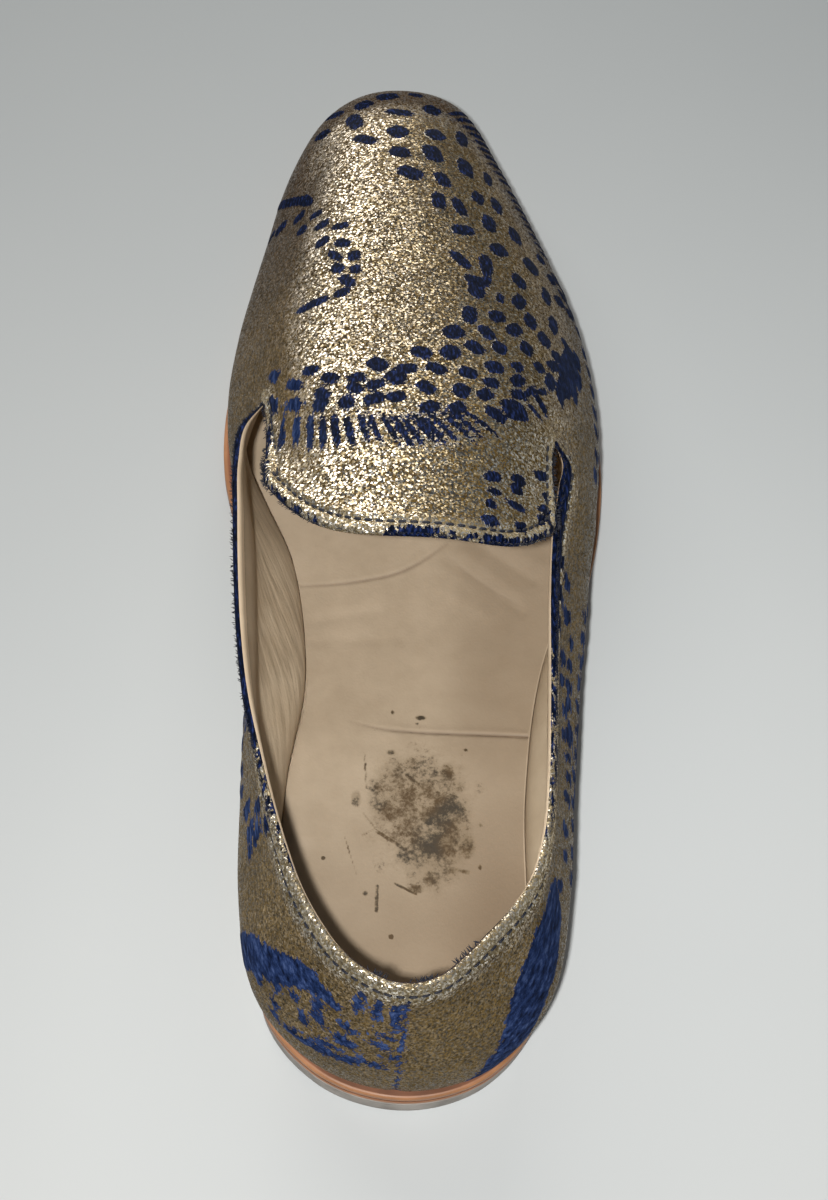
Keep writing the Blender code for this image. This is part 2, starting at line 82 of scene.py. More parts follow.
# Columns: distance from the heel, ledge of outsole outside the upper
LEDGE = MM * np.array([(-1, 2), (60, 1.7), (110, 2), (155, 3.2), (200, 2.2), (268, 2.2)])

# Ridge of the vamp over the closed last.
# Columns: distance from the heel, x of the ridge, height of the ridge
RIDGE = MM * np.array([
    (60, 0, 95), (85, -0.5, 86), (108, -1, 78.5), (130, -2.5, 73.5), (150, -3.5, 68),
    (170, -4, 62), (190, -4, 56), (210, -4, 50), (230, -4, 43.5), (246, -3.8, 37), (257, -3.5, 30)])

# Columns: distance from the heel, roundness of the cross-section
SECTION = np.array([(60, 2.9), (120, 2.9), (160, 2.8), (190, 2.4), (230, 2.2), (268, 2.2)])
CROWN = 2.1

# Top edge of the quarters, from the little-toe notch round the back of the
# heel to the big-toe notch. Columns: x, distance from the heel, height
COLLAR = MM * np.array([
    (36.2, 140.5, 48.5), (35.6, 134, 48.2), (34.1, 123, 48), (33.1, 106, 48), (32.8, 92, 48.5),
    (32.4, 76, 49.5), (31.8, 60, 51.5), (30.4, 46, 54), (27, 33.5, 56), (21.8, 25.2, 58),
    (16.9, 19.2, 59.5), (12.2, 13.8, 60.8), (7.6, 9.6, 61.7), (2, 7.4, 62), (-4, 7.6, 61.8),
    (-10, 10.6, 60.9), (-16, 16, 59.5), (-20.8, 23.2, 58), (-24.8, 31, 57), (-28.2, 40.5, 55.8),
    (-31.2, 51, 54.3), (-34.2, 63.5, 52.8), (-37.2, 78, 51.2), (-39.2, 94, 50), (-40.4, 110, 49),
    (-41.2, 126, 47.6), (-41.7, 140, 46.6), (-40.6, 150, 45.8)])

# How far the wall swells outside the straight line from ledge to top edge.
# Columns: distance from the heel, big-toe side, little-toe side
SWELL = MM * np.array([
    (0, 3.2, 3.2), (15, 4.2, 4.2), (30, 5.2, 5), (50, 5.8, 5.8), (75, 6, 6.4), (105, 5, 5.6),
    (130, 3.2, 2.6), (160, 2.2, 2), (200, 2.4, 2.2), (268, 2.4, 2.4)])

# Notches where the tongue parts from the quarters: distance of the wall's foot
# from the heel, and share of the way from that foot to the ridge
NOTCH_LITTLE = (144.6 * MM, 0.237)
NOTCH_BIG = (159.3 * MM, 0.168)
TOE_CORNER = 246.0 * MM
CORNER_SHARE = 0.24
TOE_SHARE = 0.44
FAN_HEEL = 60.0 * MM
FAN_TOE = 212.0 * MM
BLEND_SHARE = 7 / 60
EDGE_CROWDING = 0.4
HEEL_BACK_HALF = 12.0 * MM

# End of the tongue: crown of its edge, then on the little-toe and the big-toe
# side its half width, how far the corner is rounded back and by which power
TONGUE_CROWN = (5.0 * MM, 106.5 * MM)
TONGUE_HALF = (27.0 * MM, 38.4 * MM)
TONGUE_CORNER = (12.0 * MM, 21.0 * MM)
TONGUE_POWER = (4.0, 3.6)
TONGUE_DROP = 15.0 * MM
TONGUE_REACH = 33.0 * MM
TONGUE_ROUND = 2.2
TONGUE_SLIT = 1.4 * MM
SLIT_POWER = 6

# The wall is skived thin at the notches: share left there, and how far it runs
SKIVE_SHARE = 0.35
SKIVE_RUN = 12.0 * MM

# Set-in of the insole from the wall's foot, where the lining turns under it.
# Columns: distance from the heel, big-toe side, little-toe side
INSOLE_INSET = MM * np.array([
    (-1, 2.4, 2.4), (40, 2.6, 3.6), (75, 3.6, 4.4), (105, 7, 4), (130, 7.5, 2.8), (160, 3, 2.4),
    (180, 2.4, 2.4), (268, 2.4, 2.4)])

# Fineness of the worked-out curves, the least lengths that are divided by, and
# how near two points are one
DENSE = 1440
WALL_SAMPLES = 160
WALL_CROWDING = 2.2
TOP_CROWDING = 1.5
EDGE_STEP = 1e-4
LEAST = 1e-12
LEAST_HALF = 1e-7
SAME_POINT = 1e-6

# Woven navy spots on the vamp and tongue.
# Columns: x, distance from the heel, half length, half width (mm), turn from
# the toe direction towards the little toe (degrees)
VAMP_SPOTS = np.array([
    (5.6, 214, 3, 1.6, 0), (11.1, 213.5, 3, 1.5, -12), (18.2, 210.8, 3.1, 2, 15),
    (25.5, 211.6, 3.2, 2, 20), (11.6, 204.6, 2.9, 1.7, 80), (20.5, 201.3, 2.7, 2.1, 55),
    (29.2, 202, 3.1, 2.6, 40), (11.2, 194.2, 3.2, 1.5, -35), (17.2, 193.7, 3.6, 1.6, 5),
    (25.3, 192.6, 2.4, 2.1, 30), (32.6, 193.4, 3.2, 1.7, 25), (14.7, 184.4, 3.9, 2, 5),
    (13.4, 187, 2.2, 1.2, -40), (17.2, 187.6, 2, 1, 20), (20.3, 183, 1.6, 1, 15),
    (24.9, 184, 3, 1.7, 35), (33.8, 184, 3.3, 1.7, 30), (27.8, 179.2, 2.6, 1.9, 25),
    (12.8, 174.2, 3, 1.7, 8), (19.4, 175.8, 2.3, 1.8, 60), (23.3, 173, 3, 1.7, 45),
    (31.4, 174.8, 2.8, 2, 40), (16.7, 169.5, 2.2, 1.7, -30), (8.9, 167.5, 2.5, 2.2, 60),
    (26.4, 168.1, 2.3, 1.8, 30), (20, 164.8, 2, 1.8, 20), (13.6, 163, 2.4, 1.8, -50),
    (29.2, 164, 1.9, 1.5, 60), (1.4, 160.2, 2.4, 1.8, -60), (7.8, 160.3, 2.4, 2.1, 40),
    (18.3, 157.9, 2.4, 1.9, 70), (23.9, 161, 1.7, 1.3, 60), (23.9, 155.8, 2.4, 1.5, 50),
    (-8.9, 155.6, 2.3, 1.9, -50), (-2.2, 154.8, 2.4, 1.5, 80), (4.7, 154.8, 2.4, 1.5, -60),
    (11.7, 154.8, 2.1, 1.8, -70), (-4.8, 151, 2.4, 1.9, -45), (2.2, 149, 2.3, 1.6, -45),
    (10.3, 148.8, 2.2, 1.9, 20), (17, 152.4, 2, 1.5, 80), (16.1, 148.4, 2, 1.6, 60),
    (-4.4, 146.2, 2.2, 1.6, 80), (-13.8, 152.6, 2, 1.5, 90), (-20, 152.4, 2.4, 1.4, -65),
    (-24.6, 157, 2.2, 1.3, -70), (-14, 148.4, 1.9, 1.4, -70), (-9.4, 148.9, 2, 1.4, 80),
    (-10, 144.2, 2.2, 1.6, 80), (-15.5, 144.8, 2, 1.5, -70), (-21.8, 145.4, 2.2, 1.6, -60),
    (-27.6, 155.2, 3.2, 1.3, -58), (-27.6, 149, 3.2, 1.5, -58), (-33, 153.6, 3.2, 1.3, -40),
    (-33, 161.8, 2.8, 1.3, -60), (-21.5, 149.3, 2.4, 1.2, -60), (3, 143.4, 2.2, 1.6, 80),
    (9.5, 143.2, 2, 1.6, 60), (22.6, 147.4, 3, 1.8, 80), (23.5, 151.4, 2.2, 1.3, 75),
    (26.5, 153.6, 3, 0.7, 40), (29.2, 151.8, 3.2, 0.8, -50), (27.6, 148.4, 2.2, 0.7, -60),
    (29.5, 155.6, 2.6, 0.7, 60), (-15, 247.3, 3.7, 1.9, -28), (-12.2, 238, 3.3, 1.4, -58),
    (-3.9, 249.6, 3.1, 1.4, -80), (4.7, 252.3, 2.5, 2.1, 40), (-4.3, 240.7, 2.6, 2.4, -45),
    (5.6, 241.2, 2.6, 2.2, 60), (12.5, 243.7, 3.4, 1.7, 22), (-3.9, 232, 2.5, 2, -70),
    (4.3, 233, 3.3, 2.3, -12), (12.9, 230.7, 3.5, 2.2, 10), (18.9, 230.6, 2.8, 1.3, 20),
    (-1.1, 223.7, 3.1, 2.2, -60), (6.9, 222.9, 2.6, 1.7, -20), (15.8, 219.9, 2.4, 1.7, 20),
    (20.8, 220.2, 3, 1.8, 22), (-27.4, 210.4, 1.9, 1.4, -60), (-28.4, 217.3, 2, 1.5, 80),
    (-22.7, 208.6, 2, 1.4, 80), (-18.1, 205.4, 1.8, 1.1, -80), (-22.7, 202, 1.8, 1.6, 70),
    (-17.4, 199.4, 1.9, 1.3, -60), (-19.7, 195.8, 2.3, 1, -40), (-14.7, 194.2, 1.7, 1.4, -20),
    (-18.6, 190.3, 1.8, 1.4, -40), (-14.4, 188.9, 1.5, 1.2, -20), (-16, 185.4, 2.7, 1.2, -40),
    (-17.7, 181.1, 1.8, 1.3, 70), (-24.4, 179.4, 3.8, 1.3, 80), (-24.2, 213.7, 1.8, 1.1, 80),
    (-26.2, 221.9, 3, 1, -41), (17.5, 124.2, 2.1, 1.3, 80), (23.1, 126.7, 2, 1.3, 80),
    (28.6, 130.7, 2.3, 1.2, 75), (22.7, 123, 1.6, 1.2, 80), (30.2, 125.3, 1.7, 1.3, 70),
    (16.4, 116.6, 1.3, 1.1, 90), (22.3, 118.4, 2.4, 1, 100), (29.2, 121.2, 2.1, 1.1, 75),
    (16.5, 111.4, 1.9, 1.6, 80), (23.1, 112, 1.9, 1.6, 80), (29.1, 117.6, 2.3, 1.2, 80),
    (17.7, 120.8, 1.6, 0.8, 85), (17.8, 142.6, 2.6, 1.6, -60), (22.9, 145.8, 3.6, 2.8, 80),
    (32.2, 161, 2.9, 1.7, 30), (33.2, 167.6, 3, 1.4, 60), (34.6, 157.6, 2, 1.2, -30)])

# Woven spots on the walls. Columns: length round the foot from the back of the
# heel by the little-toe side, share of the wall's height, half length, half
# width (mm), turn from upright towards growing length (degrees)
WALL_SPOTS = np.array([
    (197, 0.7, 3, 1.9, 60), (190, 0.72, 3.2, 1.5, 70), (184, 0.8, 2.8, 1.3, 60),
    (193.5, 0.96, 2.6, 1.5, 20), (217, 0.7, 2.6, 1.6, 20), (225, 0.67, 2.4, 1.5, 20),
    (232, 0.7, 2.2, 1.4, 20), (306.4, 0.55, 2.4, 2.7, 0), (314, 0.62, 2.4, 2.2, 0),
    (298, 0.5, 1.5, 1.7, 0), (322, 0.5, 3.6, 1.3, 4), (329, 0.64, 2.6, 1.5, 0),
    (361.3, 0.65, 2.6, 1.6, 10), (362, 0.48, 1.8, 1.2, 10), (52, 0.68, 2.2, 1.4, 20),
    (67, 0.64, 2.4, 1.6, 0), (76, 0.62, 3, 1.5, 0), (81.5, 0.6, 2.4, 1.5, 0),
    (87, 0.62, 2.2, 1.1, 0), (93, 0.62, 3.2, 2.6, 60), (99, 0.66, 2.6, 1.7, 10),
    (96, 0.72, 2, 1.2, 20), (104, 0.68, 2.4, 1.7, 20), (108, 0.8, 3, 1.9, 20),
    (110, 0.66, 2.2, 1.5, 10), (116, 0.68, 2, 1.6, 20), (121, 0.76, 2.6, 2, 30),
    (122, 0.92, 3, 2, -20), (114, 0.93, 3, 1.8, -20), (129, 0.82, 2.8, 1.6, -15),
    (131, 0.95, 2.8, 1.6, -20), (102, 0.8, 2.4, 1.5, 15), (90, 0.74, 2, 1.3, 10),
    (61, 0.62, 1.8, 1.2, 20), (-13.5, 0.83, 3.4, 1, -4), (-9, 0.84, 3.4, 1, -2),
    (-4.4, 0.81, 4.4, 1.2, 0), (-22, 0.66, 1.6, 1.5, 80), (-14, 0.655, 2, 1.3, 80),
    (-20.5, 0.6, 2.6, 1.4, 80), (-28, 0.61, 1.9, 1.1, 80), (-32, 0.55, 1.8, 1.3, 30),
    (-24, 0.52, 2.1, 1.5, 60), (-14.5, 0.545, 2.8, 1.9, 70), (-7, 0.6, 2.6, 0.9, 70),
    (-5, 0.665, 2.4, 0.8, 80), (-31, 0.46, 1.7, 1.2, 60), (-17, 0.47, 2.6, 1.1, 80),
    (-8, 0.44, 3.2, 1.2, 75), (-30, 0.37, 1.9, 1.2, 70), (-25, 0.38, 1.4, 1.1, 80),
    (-18, 0.42, 2.2, 1, 80), (-37, 0.44, 1.6, 1.2, 40), (-3.6, 0.52, 2.2, 0.9, 80),
    (-72.5, 0.62, 3.2, 2, 10), (-68, 0.83, 2.6, 1.8, 0), (-66, 0.68, 3, 2, 20),
    (-60.6, 0.91, 2.2, 1.6, 40), (-62.8, 0.76, 3.4, 1.8, 30), (-61.5, 0.64, 2, 1.4, 60)])

# Rows of like spots where the cloth's ground runs down the walls. Columns: first
# and last length round the foot, share of height, spacing, half length, half
# width (mm), turn (degrees)
SPOT_ROWS = np.array([
    (236, 287, 0.47, 2.9, 5.2, 0.62, 8), (60, 132, 0.46, 6.4, 2.4, 1.6, 10),
    (63, 135, 0.34, 6.4, 2.4, 1.6, 10), (60, 138, 0.22, 6.4, 2.4, 1.6, 10),
    (168, 226, 0.44, 6.2, 2.5, 1.6, 10), (171, 226, 0.3, 6.2, 2.5, 1.6, 10),
    (168, 300, 0.17, 6.2, 2.3, 1.5, 10), (215, 228, 0.56, 6, 2.4, 1.6, 10),
    (-116, -78, 0.5, 6, 2.4, 1.5, -10), (-113, -78, 0.36, 6, 2.4, 1.5, -10),
    (-116, -76, 0.22, 6, 2.2, 1.5, -10), (-120, -92, 0.66, 3, 3.6, 0.8, 6)])

# Bars of the fringe across the tongue. Columns: x, distance from the heel, half
# length, half width (mm), turn from the toe direction (degrees)
FRINGE_BARS = np.array([
    (-33.2, 147, 3.6, 0.95, -4), (-30.3, 143.4, 4.1, 1, -7), (-27, 141, 4.2, 1, -8),
    (-23.9, 138.9, 4.2, 0.95, -9), (-21.2, 137.6, 4.2, 0.85, -10), (-18.2, 136.6, 4, 0.8, -13),
    (-15, 136, 3.9, 0.72, -15), (-12, 135.8, 3.8, 0.52, -17), (-9.2, 135.9, 3.8, 0.52, -20),
    (-6.2, 135.7, 3.9, 0.52, -23), (-3.2, 135.7, 4, 0.55, -25), (-0.6, 135.6, 4, 0.6, -28),
    (1.5, 135.9, 4, 0.62, -30), (3.9, 136, 4, 0.58, -34), (6.2, 136.8, 4, 0.55, -38),
    (8.9, 137.4, 4, 0.55, -43), (11.5, 138, 4, 0.55, -48), (14.6, 139.4, 4, 0.6, -54)])

# Solid navy bands on the walls: length round the foot, share of height, half width
BANDS = (
    ((179.5, 0.98, 1.6), (184, 0.92, 3), (188.5, 0.86, 3.9), (193.5, 0.82, 3.4), (198, 0.78, 2.4),
     (201, 0.82, 1.4)),
    ((50, 0.76, 1.2), (46, 0.73, 3.8), (43, 0.7, 5.8), (38, 0.67, 7.2), (33.5, 0.6, 8),
     (30, 0.555, 7.4), (27, 0.46, 6.6), (24, 0.34, 6), (20.5, 0.275, 4.9), (16.5, 0.2, 3),
     (13.5, 0.14, 1.5)),
    ((-17.5, 0.73, 1.2), (-22, 0.765, 2), (-26, 0.75, 3), (-31, 0.69, 3.8), (-36, 0.6, 4.2),
     (-41, 0.49, 4.2), (-45.5, 0.34, 4), (-49, 0.16, 3.6)),
    ((353, 1, 1), (352.5, 0.85, 1.2), (352.5, 0.6, 1.2), (351, 0.34, 1)),
    ((-12, 0.42, 1.6), (-20, 0.4, 1.4), (-27, 0.36, 1)))


def smooth(t):
    """Ease from 0 to 1 with level ends: 3 t squared less 2 t cubed."""
    t = np.clip(t, 0.0, 1.0)
    return t * t * (3.0 - 2.0 * t)


def ease(value, start, end):
    """The smooth ease of a value from 0 at a start to 1 at an end, either way round."""
    return smooth((value - start) / (end - start))


def bell(distance, reach):
    """Soft bump: 1 in the middle, falling as a Gaussian whose spread is the reach."""
    return np.exp(-(distance / reach) ** 2)


def unit(rows):
    """Directions divided by their own length."""
    return rows / np.maximum(np.linalg.norm(rows, axis=-1, keepdims=True), LEAST)


def run_along(points):
    """Length along a line of points: the sum of the steps so far."""
    steps = np.linalg.norm(np.diff(points, axis=0), axis=1)
    return np.concatenate([[0.0], np.cumsum(steps)])


def read_along(at, run, rows):
    """Rows that lie at the lengths in run, read at other lengths by straight lines."""
    return np.stack([np.interp(at, run, column) for column in rows.T], -1)


def spans(stops, counts):
    """Even steps from each stop to the next, as many as its count, without the last."""
    return np.concatenate([np.linspace(first, last, count, endpoint=False)
                           for first, last, count in zip(stops, stops[1:], counts)])


def nearest(points, others):
    """Distance of each point from the nearest of some others."""
    return np.linalg.norm(points[:, None] - others[None], axis=2).min(axis=1)


def numbered(points):
    """Index grid of a grid of points, counted row by row."""
    return np.arange(points[..., 0].size).reshape(points.shape[:-1])


def grid_faces(grid, wrap=None, flip=False):
    """Four-sided faces between neighbours along the last two axes of an index grid.

    The axis named by wrap closes on itself; flip turns the faces over.
    """
    if wrap is not None:
        grid = np.concatenate([grid, grid.take([0], axis=wrap)], axis=wrap)
    a, b = grid[..., :-1, :-1], grid[..., 1:, :-1]
    c, d = grid[..., 1:, 1:], grid[..., :-1, 1:]
    return np.stack([a, d, c, b] if flip else [a, b, c, d], -1).reshape(-1, 4)


def through(xs, ys, steady=False):
    """Smooth curve through points: cubic pieces with mean slopes.

    A steady curve keeps its slopes small enough never to pass beyond its points.
    """
    xs = np.asarray(xs, float)
    ys = np.asarray(ys, float)
    slope = np.gradient(ys, xs)
    if steady:
        rise = np.diff(ys) / np.diff(xs)
        most = 2 * np.minimum(np.abs(rise[:-1]), np.abs(rise[1:])) * (rise[:-1] * rise[1:] > 0)
        slope[1:-1] = np.clip(slope[1:-1], -most, most)

    def value(x):
        x = np.asarray(x, float)
        i = np.clip(np.searchsorted(xs, x) - 1, 0, len(xs) - 2)
        h = xs[i + 1] - xs[i]
        t = np.clip((x - xs[i]) / h, 0.0, 1.0)
        ends = ys[i] * (1 + 2 * t) * (1 - t) ** 2 + ys[i + 1] * t * t * (3 - 2 * t)
        return ends + h * (slope[i] * t * (1 - t) ** 2 - slope[i + 1] * t * t * (1 - t))
    return value


def steady_curves(table):
    """A steady curve for each column of a table over its first column."""
    return [through(table[:, 0], column, True) for column in table[:, 1:].T]


def turn(y, low, high):
    """Angle whose cosine carries y from low (0) to high (pi)."""
    return np.arccos(np.clip(1.0 - 2.0 * (np.asarray(y, float) - low) / (high - low), -1.0, 1.0))


underside, = steady_curves(UNDERSIDE)
ledge, = steady_curves(LEDGE)
roundness, = steady_curves(SECTION * (MM, 1.0))
swell_big, swell_little = steady_curves(SWELL)
inset_big, inset_little = steady_curves(INSOLE_INSET)


def sole_loop():
    """Outsole edge as a function of the angle round the foot, heel back at 0."""
    up = turn(SOLE_EDGE[:, 0], HEEL_END, TOE_END)
    angle = np.concatenate([up, 2 * np.pi - up[-2::-1]])
    x = np.concatenate([SOLE_EDGE[:, 2], SOLE_EDGE[-2::-1, 1]])
    angle = np.concatenate([angle[-5:-1] - 2 * np.pi, angle, angle[1:5] + 2 * np.pi])
    x = np.concatenate([x[-5:-1], x, x[1:5]])
    return through(angle, x)


sole_x = sole_loop()


def station(angle):
    """Distance from the heel at an angle round the foot."""
    return HEEL_END + (TOE_END - HEEL_END) * (1 - np.cos(angle)) / 2


def sole_edge(angle, inset):
    """Plan points of the outsole edge, moved in by inset along its normal."""
    def point(a):
        return np.stack([sole_x(np.mod(a, 2 * np.pi)), station(a)], -1)
    along = point(angle + EDGE_STEP) - point(angle - EDGE_STEP)
    out = unit(np.stack([along[:, 1], -along[:, 0]], -1))
    inset = np.broadcast_to(np.asarray(inset, float), angle.shape)
    return point(angle) - out * inset[:, None], out


# The wall's foot: the outsole's edge set in by the ledge, with the length round
# it, its point at the toe and its two sides
PLAIN_EDGE, OUTWARD = sole_edge(np.arange(DENSE + 1) * (2 * np.pi / DENSE), 0.0)
FOOT = PLAIN_EDGE - OUTWARD * ledge(PLAIN_EDGE[:, 1])[:, None]
FOOT_LENGTH = run_along(FOOT)
ALL_ROUND = FOOT_LENGTH[-1]
TIP = DENSE // 2
BACK = FOOT[0, 1]
FRONT = FOOT[TIP, 1]
LITTLE = FOOT[:TIP + 1]
BIG = FOOT[:TIP - 1:-1]


def foot_z(y):
    """Height of the wall's foot: just above the outsole."""
    return underside(y) + SOLE_THICK + SEAT_GAP


ridge_turn = np.concatenate([turn(RIDGE[:, 0], BACK, FRONT), [np.pi]])
ridge_x = through(ridge_turn, np.append(RIDGE[:, 1], FOOT[TIP, 0]))
ridge_z = through(ridge_turn, np.append(RIDGE[:, 2], foot_z(FRONT)))

# The frame's middle, seen from the back of the heel
sole_low, sole_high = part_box("outsole")
MIDDLE = np.array([
    (PLAIN_EDGE[:, 0].min() + PLAIN_EDGE[:, 0].max() - sole_low[0] - sole_high[0]) / 2,
    TOE_END - sole_high[1], 0.0])


def last_z(plan):
    """Height of the vamp: from ridge down to foot by a rounded cross-section."""
    y = plan[..., 1]
    a = turn(y, BACK, FRONT)
    middle = ridge_x(a)
    little = np.interp(a, turn(LITTLE[:, 1], BACK, FRONT), LITTLE[:, 0])
    big = np.interp(a, turn(BIG[:, 1], BACK, FRONT), BIG[:, 0])
    off = plan[..., 0] - middle
    half = np.where(off > 0, little - middle, middle - big)
    share = np.clip(np.abs(off) / np.maximum(half, LEAST_HALF), 0.0, 1.0)
    low = foot_z(y)
    return low + (ridge_z(a) - low) * (1 - share ** roundness(y)) ** (1 / CROWN)


def ridge_foot(foot):
    """Plan point on the ridge that a wall's foot fans in to."""
    y = FAN_HEEL + (FAN_TOE - FAN_HEEL) * (foot[..., 1] - BACK) / (FRONT - BACK)
    return np.stack([ridge_x(turn(y, BACK, FRONT)), y], -1)


def resample(points, shares):
    """Points of a polyline at shares of its length."""
    run = run_along(points)
    return read_along(shares * run[-1], run, points)


def length_at(y, little):
    """Length round the wall's foot, from the heel back, at a distance y on a side."""
    side = slice(0, TIP + 1) if little else slice(DENSE, TIP - 1, -1)
    return np.interp(y, FOOT[side, 1], FOOT_LENGTH[side])


def round_gap(lengths, at):
    """Shortest way round the foot from lengths to one length."""
    return np.abs(np.mod(lengths - at + ALL_ROUND / 2, ALL_ROUND) - ALL_ROUND / 2)


def foot_at(lengths):
    """Foot points, outward directions and whether on the little-toe side, at lengths."""
    run = np.mod(lengths, ALL_ROUND)
    out = unit(read_along(run, FOOT_LENGTH, OUTWARD))
    return read_along(run, FOOT_LENGTH, FOOT), out, run < FOOT_LENGTH[TIP]


def wall_swell(t, foot, out, little):
    """Outward swell of a wall at shares t of its height: most at a third, ends level.

    27/4 t (1 - t) squared is 1 where it is most.
    """
    amount = np.where(little, swell_little(foot[:, 1]), swell_big(foot[:, 1]))
    shape = 27 / 4 * t * (1 - t) ** 2
    return shape[None, :, None] * amount[:, None, None] * out[:, None, :]


def vamp_wall(foot, out, share, little, t):
    """Walls on the last: each runs from its foot a share of the way to the ridge."""
    way = ridge_foot(foot) - foot
    fine = np.linspace(0.0, 1.0, WALL_SAMPLES) ** WALL_CROWDING
    plan = foot[:, None, :] + way[:, None, :] * (fine * share[:, None])[..., None]
    curve = np.concatenate([plan, last_z(plan)[..., None]], -1)
    wall = np.stack([resample(c, t) for c in curve])
    wall[..., :2] += wall_swell(t, foot, out, little)
    return wall


def quarter_wall(foot, out, top, little, t):
    """Walls of the quarters: lean in late from foot to top edge, with a swell."""
    lean = (t * t)[None, :, None]
    wall = np.empty((len(foot), len(t), 3))
    wall[..., :2] = foot[:, None, :] * (1 - lean) + top[:, None, :2] * lean
    wall[..., :2] += wall_swell(t, foot, out, little)
    low = foot_z(foot[:, 1])[:, None]
    wall[..., 2] = low + (top[:, 2:] - low) * t
    return wall


def upper_surface():
    """Outside of the upper: a strip of walls round the foot and a patch over the vamp.

    In front the strip meets the patch, which is stretched between the strip's
    edges and lifted onto the last; behind the notches the patch runs on as the
    tongue and the strip is free. Returns points, four-sided faces, the index
    grids of strip and patch, each column's length round the foot and the
    shares of the wall's height.
    """
    side, toe, quarter = SIDE_CELLS, TOE_CELLS, QUARTER_CELLS
    halves = (quarter // 2, quarter - quarter // 2)
    start = length_at(NOTCH_LITTLE[0], True)
    stops = (start, length_at(TOE_CORNER, True), length_at(TOE_CORNER, False),
             length_at(NOTCH_BIG[0], False), ALL_ROUND, ALL_ROUND + start)
    lengths = spans(stops, (side, toe, side, *halves))
    foot, out, little = foot_at(lengths)
    t = 1 - np.linspace(1.0, 0.0, WALL_CELLS + 1) ** TOP_CROWDING

    rise = smooth(np.arange(side) / side)
    bulge = np.sin(np.pi * np.arange(toe + 1) / toe) ** 2
    share = np.concatenate([
        NOTCH_LITTLE[1] + (CORNER_SHARE - NOTCH_LITTLE[1]) * rise,
        CORNER_SHARE + (TOE_SHARE - CORNER_SHARE) * bulge,
        (NOTCH_BIG[1] + (CORNER_SHARE - NOTCH_BIG[1]) * rise)[:0:-1],
        np.repeat((NOTCH_BIG[1], NOTCH_LITTLE[1]), halves)])
    strip = vamp_wall(foot, out, share, little, t)

    top = np.concatenate([strip[:1, -1], COLLAR, strip[FRONT_CELLS:FRONT_CELLS + 1, -1]])[::-1]
    at_back = np.abs(top[:, 0]) < HEEL_BACK_HALF
    middle = int(np.argmin(np.where(at_back, top[:, 1], TOE_END)))
    run = run_along(top)
    at = spans((0.0, run[middle], run[-1]), halves)
    edge = np.stack([through(run, column)(at) for column in top.T], -1)
    rear = slice(FRONT_CELLS, len(lengths))
    free = quarter_wall(foot[rear], out[rear], edge, little[rear], t)
    cell = np.arange(quarter)
    reach = BLEND_SHARE * quarter
    blend = (smooth(cell / reach) * smooth((quarter - cell) / reach))[:, None, None]
    bent = strip[rear] + (edge - strip[rear, -1])[:, None, :] * (t ** 2)[None, :, None]
    strip[rear] = bent * (1 - blend) + free * blend

    ring = numbered(strip)
    points = [strip.reshape(-1, 3)]
    patch = np.empty((side + TONGUE_CELLS + 1, toe + 1), int)
    patch[0] = ring[side:side + toe + 1, -1]
    patch[:side + 1, 0] = ring[side::-1, -1]
    patch[:side + 1, -1] = ring[side + toe:FRONT_CELLS + 1, -1]
    inner = patch[1:side + 1, 1:-1]
    inner[...] = ring.size + np.arange(inner.size).reshape(inner.shape)
    tail = patch[side + 1:]
    tail[...] = ring.size + inner.size + np.arange(tail.size).reshape(tail.shape)

    u = np.linspace(0.0, 1.0, toe + 1)
    flat = points[0][:, :2]
    first = flat[patch[0]]
    left = flat[patch[:side + 1, 0]]
    right = flat[patch[:side + 1, -1]]
    spread = (1 - EDGE_CROWDING) * u + EDGE_CROWDING * (1 - np.cos(np.pi * u)) / 2
    last = left[-1] + (right[-1] - left[-1]) * spread[:, None]
    uu = u[None, :, None]
    vv = np.linspace(0.0, 1.0, side + 1)[:, None, None]
    plan = (1 - vv) * first + vv * last + (1 - uu) * left[:, None] + uu * right[:, None]
    plan -= (1 - vv) * ((1 - uu) * first[0] + uu * first[-1])
    plan -= vv * ((1 - uu) * last[0] + uu * last[-1])
    vamp = np.concatenate([plan, last_z(plan)[..., None]], -1)
    points.append(vamp[1:, 1:-1].reshape(-1, 3))

    across = 1 - 2 * spread
    wide, corner, power = (np.where(across > 0, *sides) for sides in (
        TONGUE_HALF, TONGUE_CORNER, TONGUE_POWER))
    end = np.stack([TONGUE_CROWN[0] + wide * across,
                    TONGUE_CROWN[1] + corner * np.abs(across) ** power], -1)
    w = (1 - np.linspace(1.0, 0.0, TONGUE_CELLS + 1) ** TOP_CROWDING)[1:, None]
    flap = last * (1 - w[..., None]) + end * w[..., None]
    flap[..., 0] -= TONGUE_SLIT * (1 - (1 - w) ** SLIT_POWER) * (1 - w) * across ** 3
    a = turn(flap[..., 1], BACK, FRONT)
    aside = np.abs(flap[..., 0] - ridge_x(a)) / TONGUE_REACH
    arch = ridge_z(a) - TONGUE_DROP * aside ** TONGUE_ROUND
    height = last_z(flap) * (1 - smooth(w)) + arch * smooth(w)
    points.append(np.concatenate([flap, height[..., None]], -1).reshape(-1, 3))

    quads = np.concatenate([grid_faces(ring, wrap=0), grid_faces(patch, flip=True)])
    return np.concatenate(points), quads, ring, patch, lengths, t


def point_normals(points, quads):
    """Mean outward direction of the faces round each point."""
    face = np.cross(points[quads[:, 2]] - points[quads[:, 0]],
                    points[quads[:, 3]] - points[quads[:, 1]])
    total = np.zeros_like(points)
    for corner in quads.T:
        np.add.at(total, corner, face)
    return unit(total)


# Folded edge: height of the roll, depth of the stitch groove and height of the
# second ridge, each with its distance from the edge and its spread (mm), and
# how far from a notch they come in
EDGE_RELIEF = ((0.45, 0.9, 1.0), (-0.5, 2.3, 0.5), (0.4, 3.7, 1.0))
EDGE_RUN = 6.0 * MM

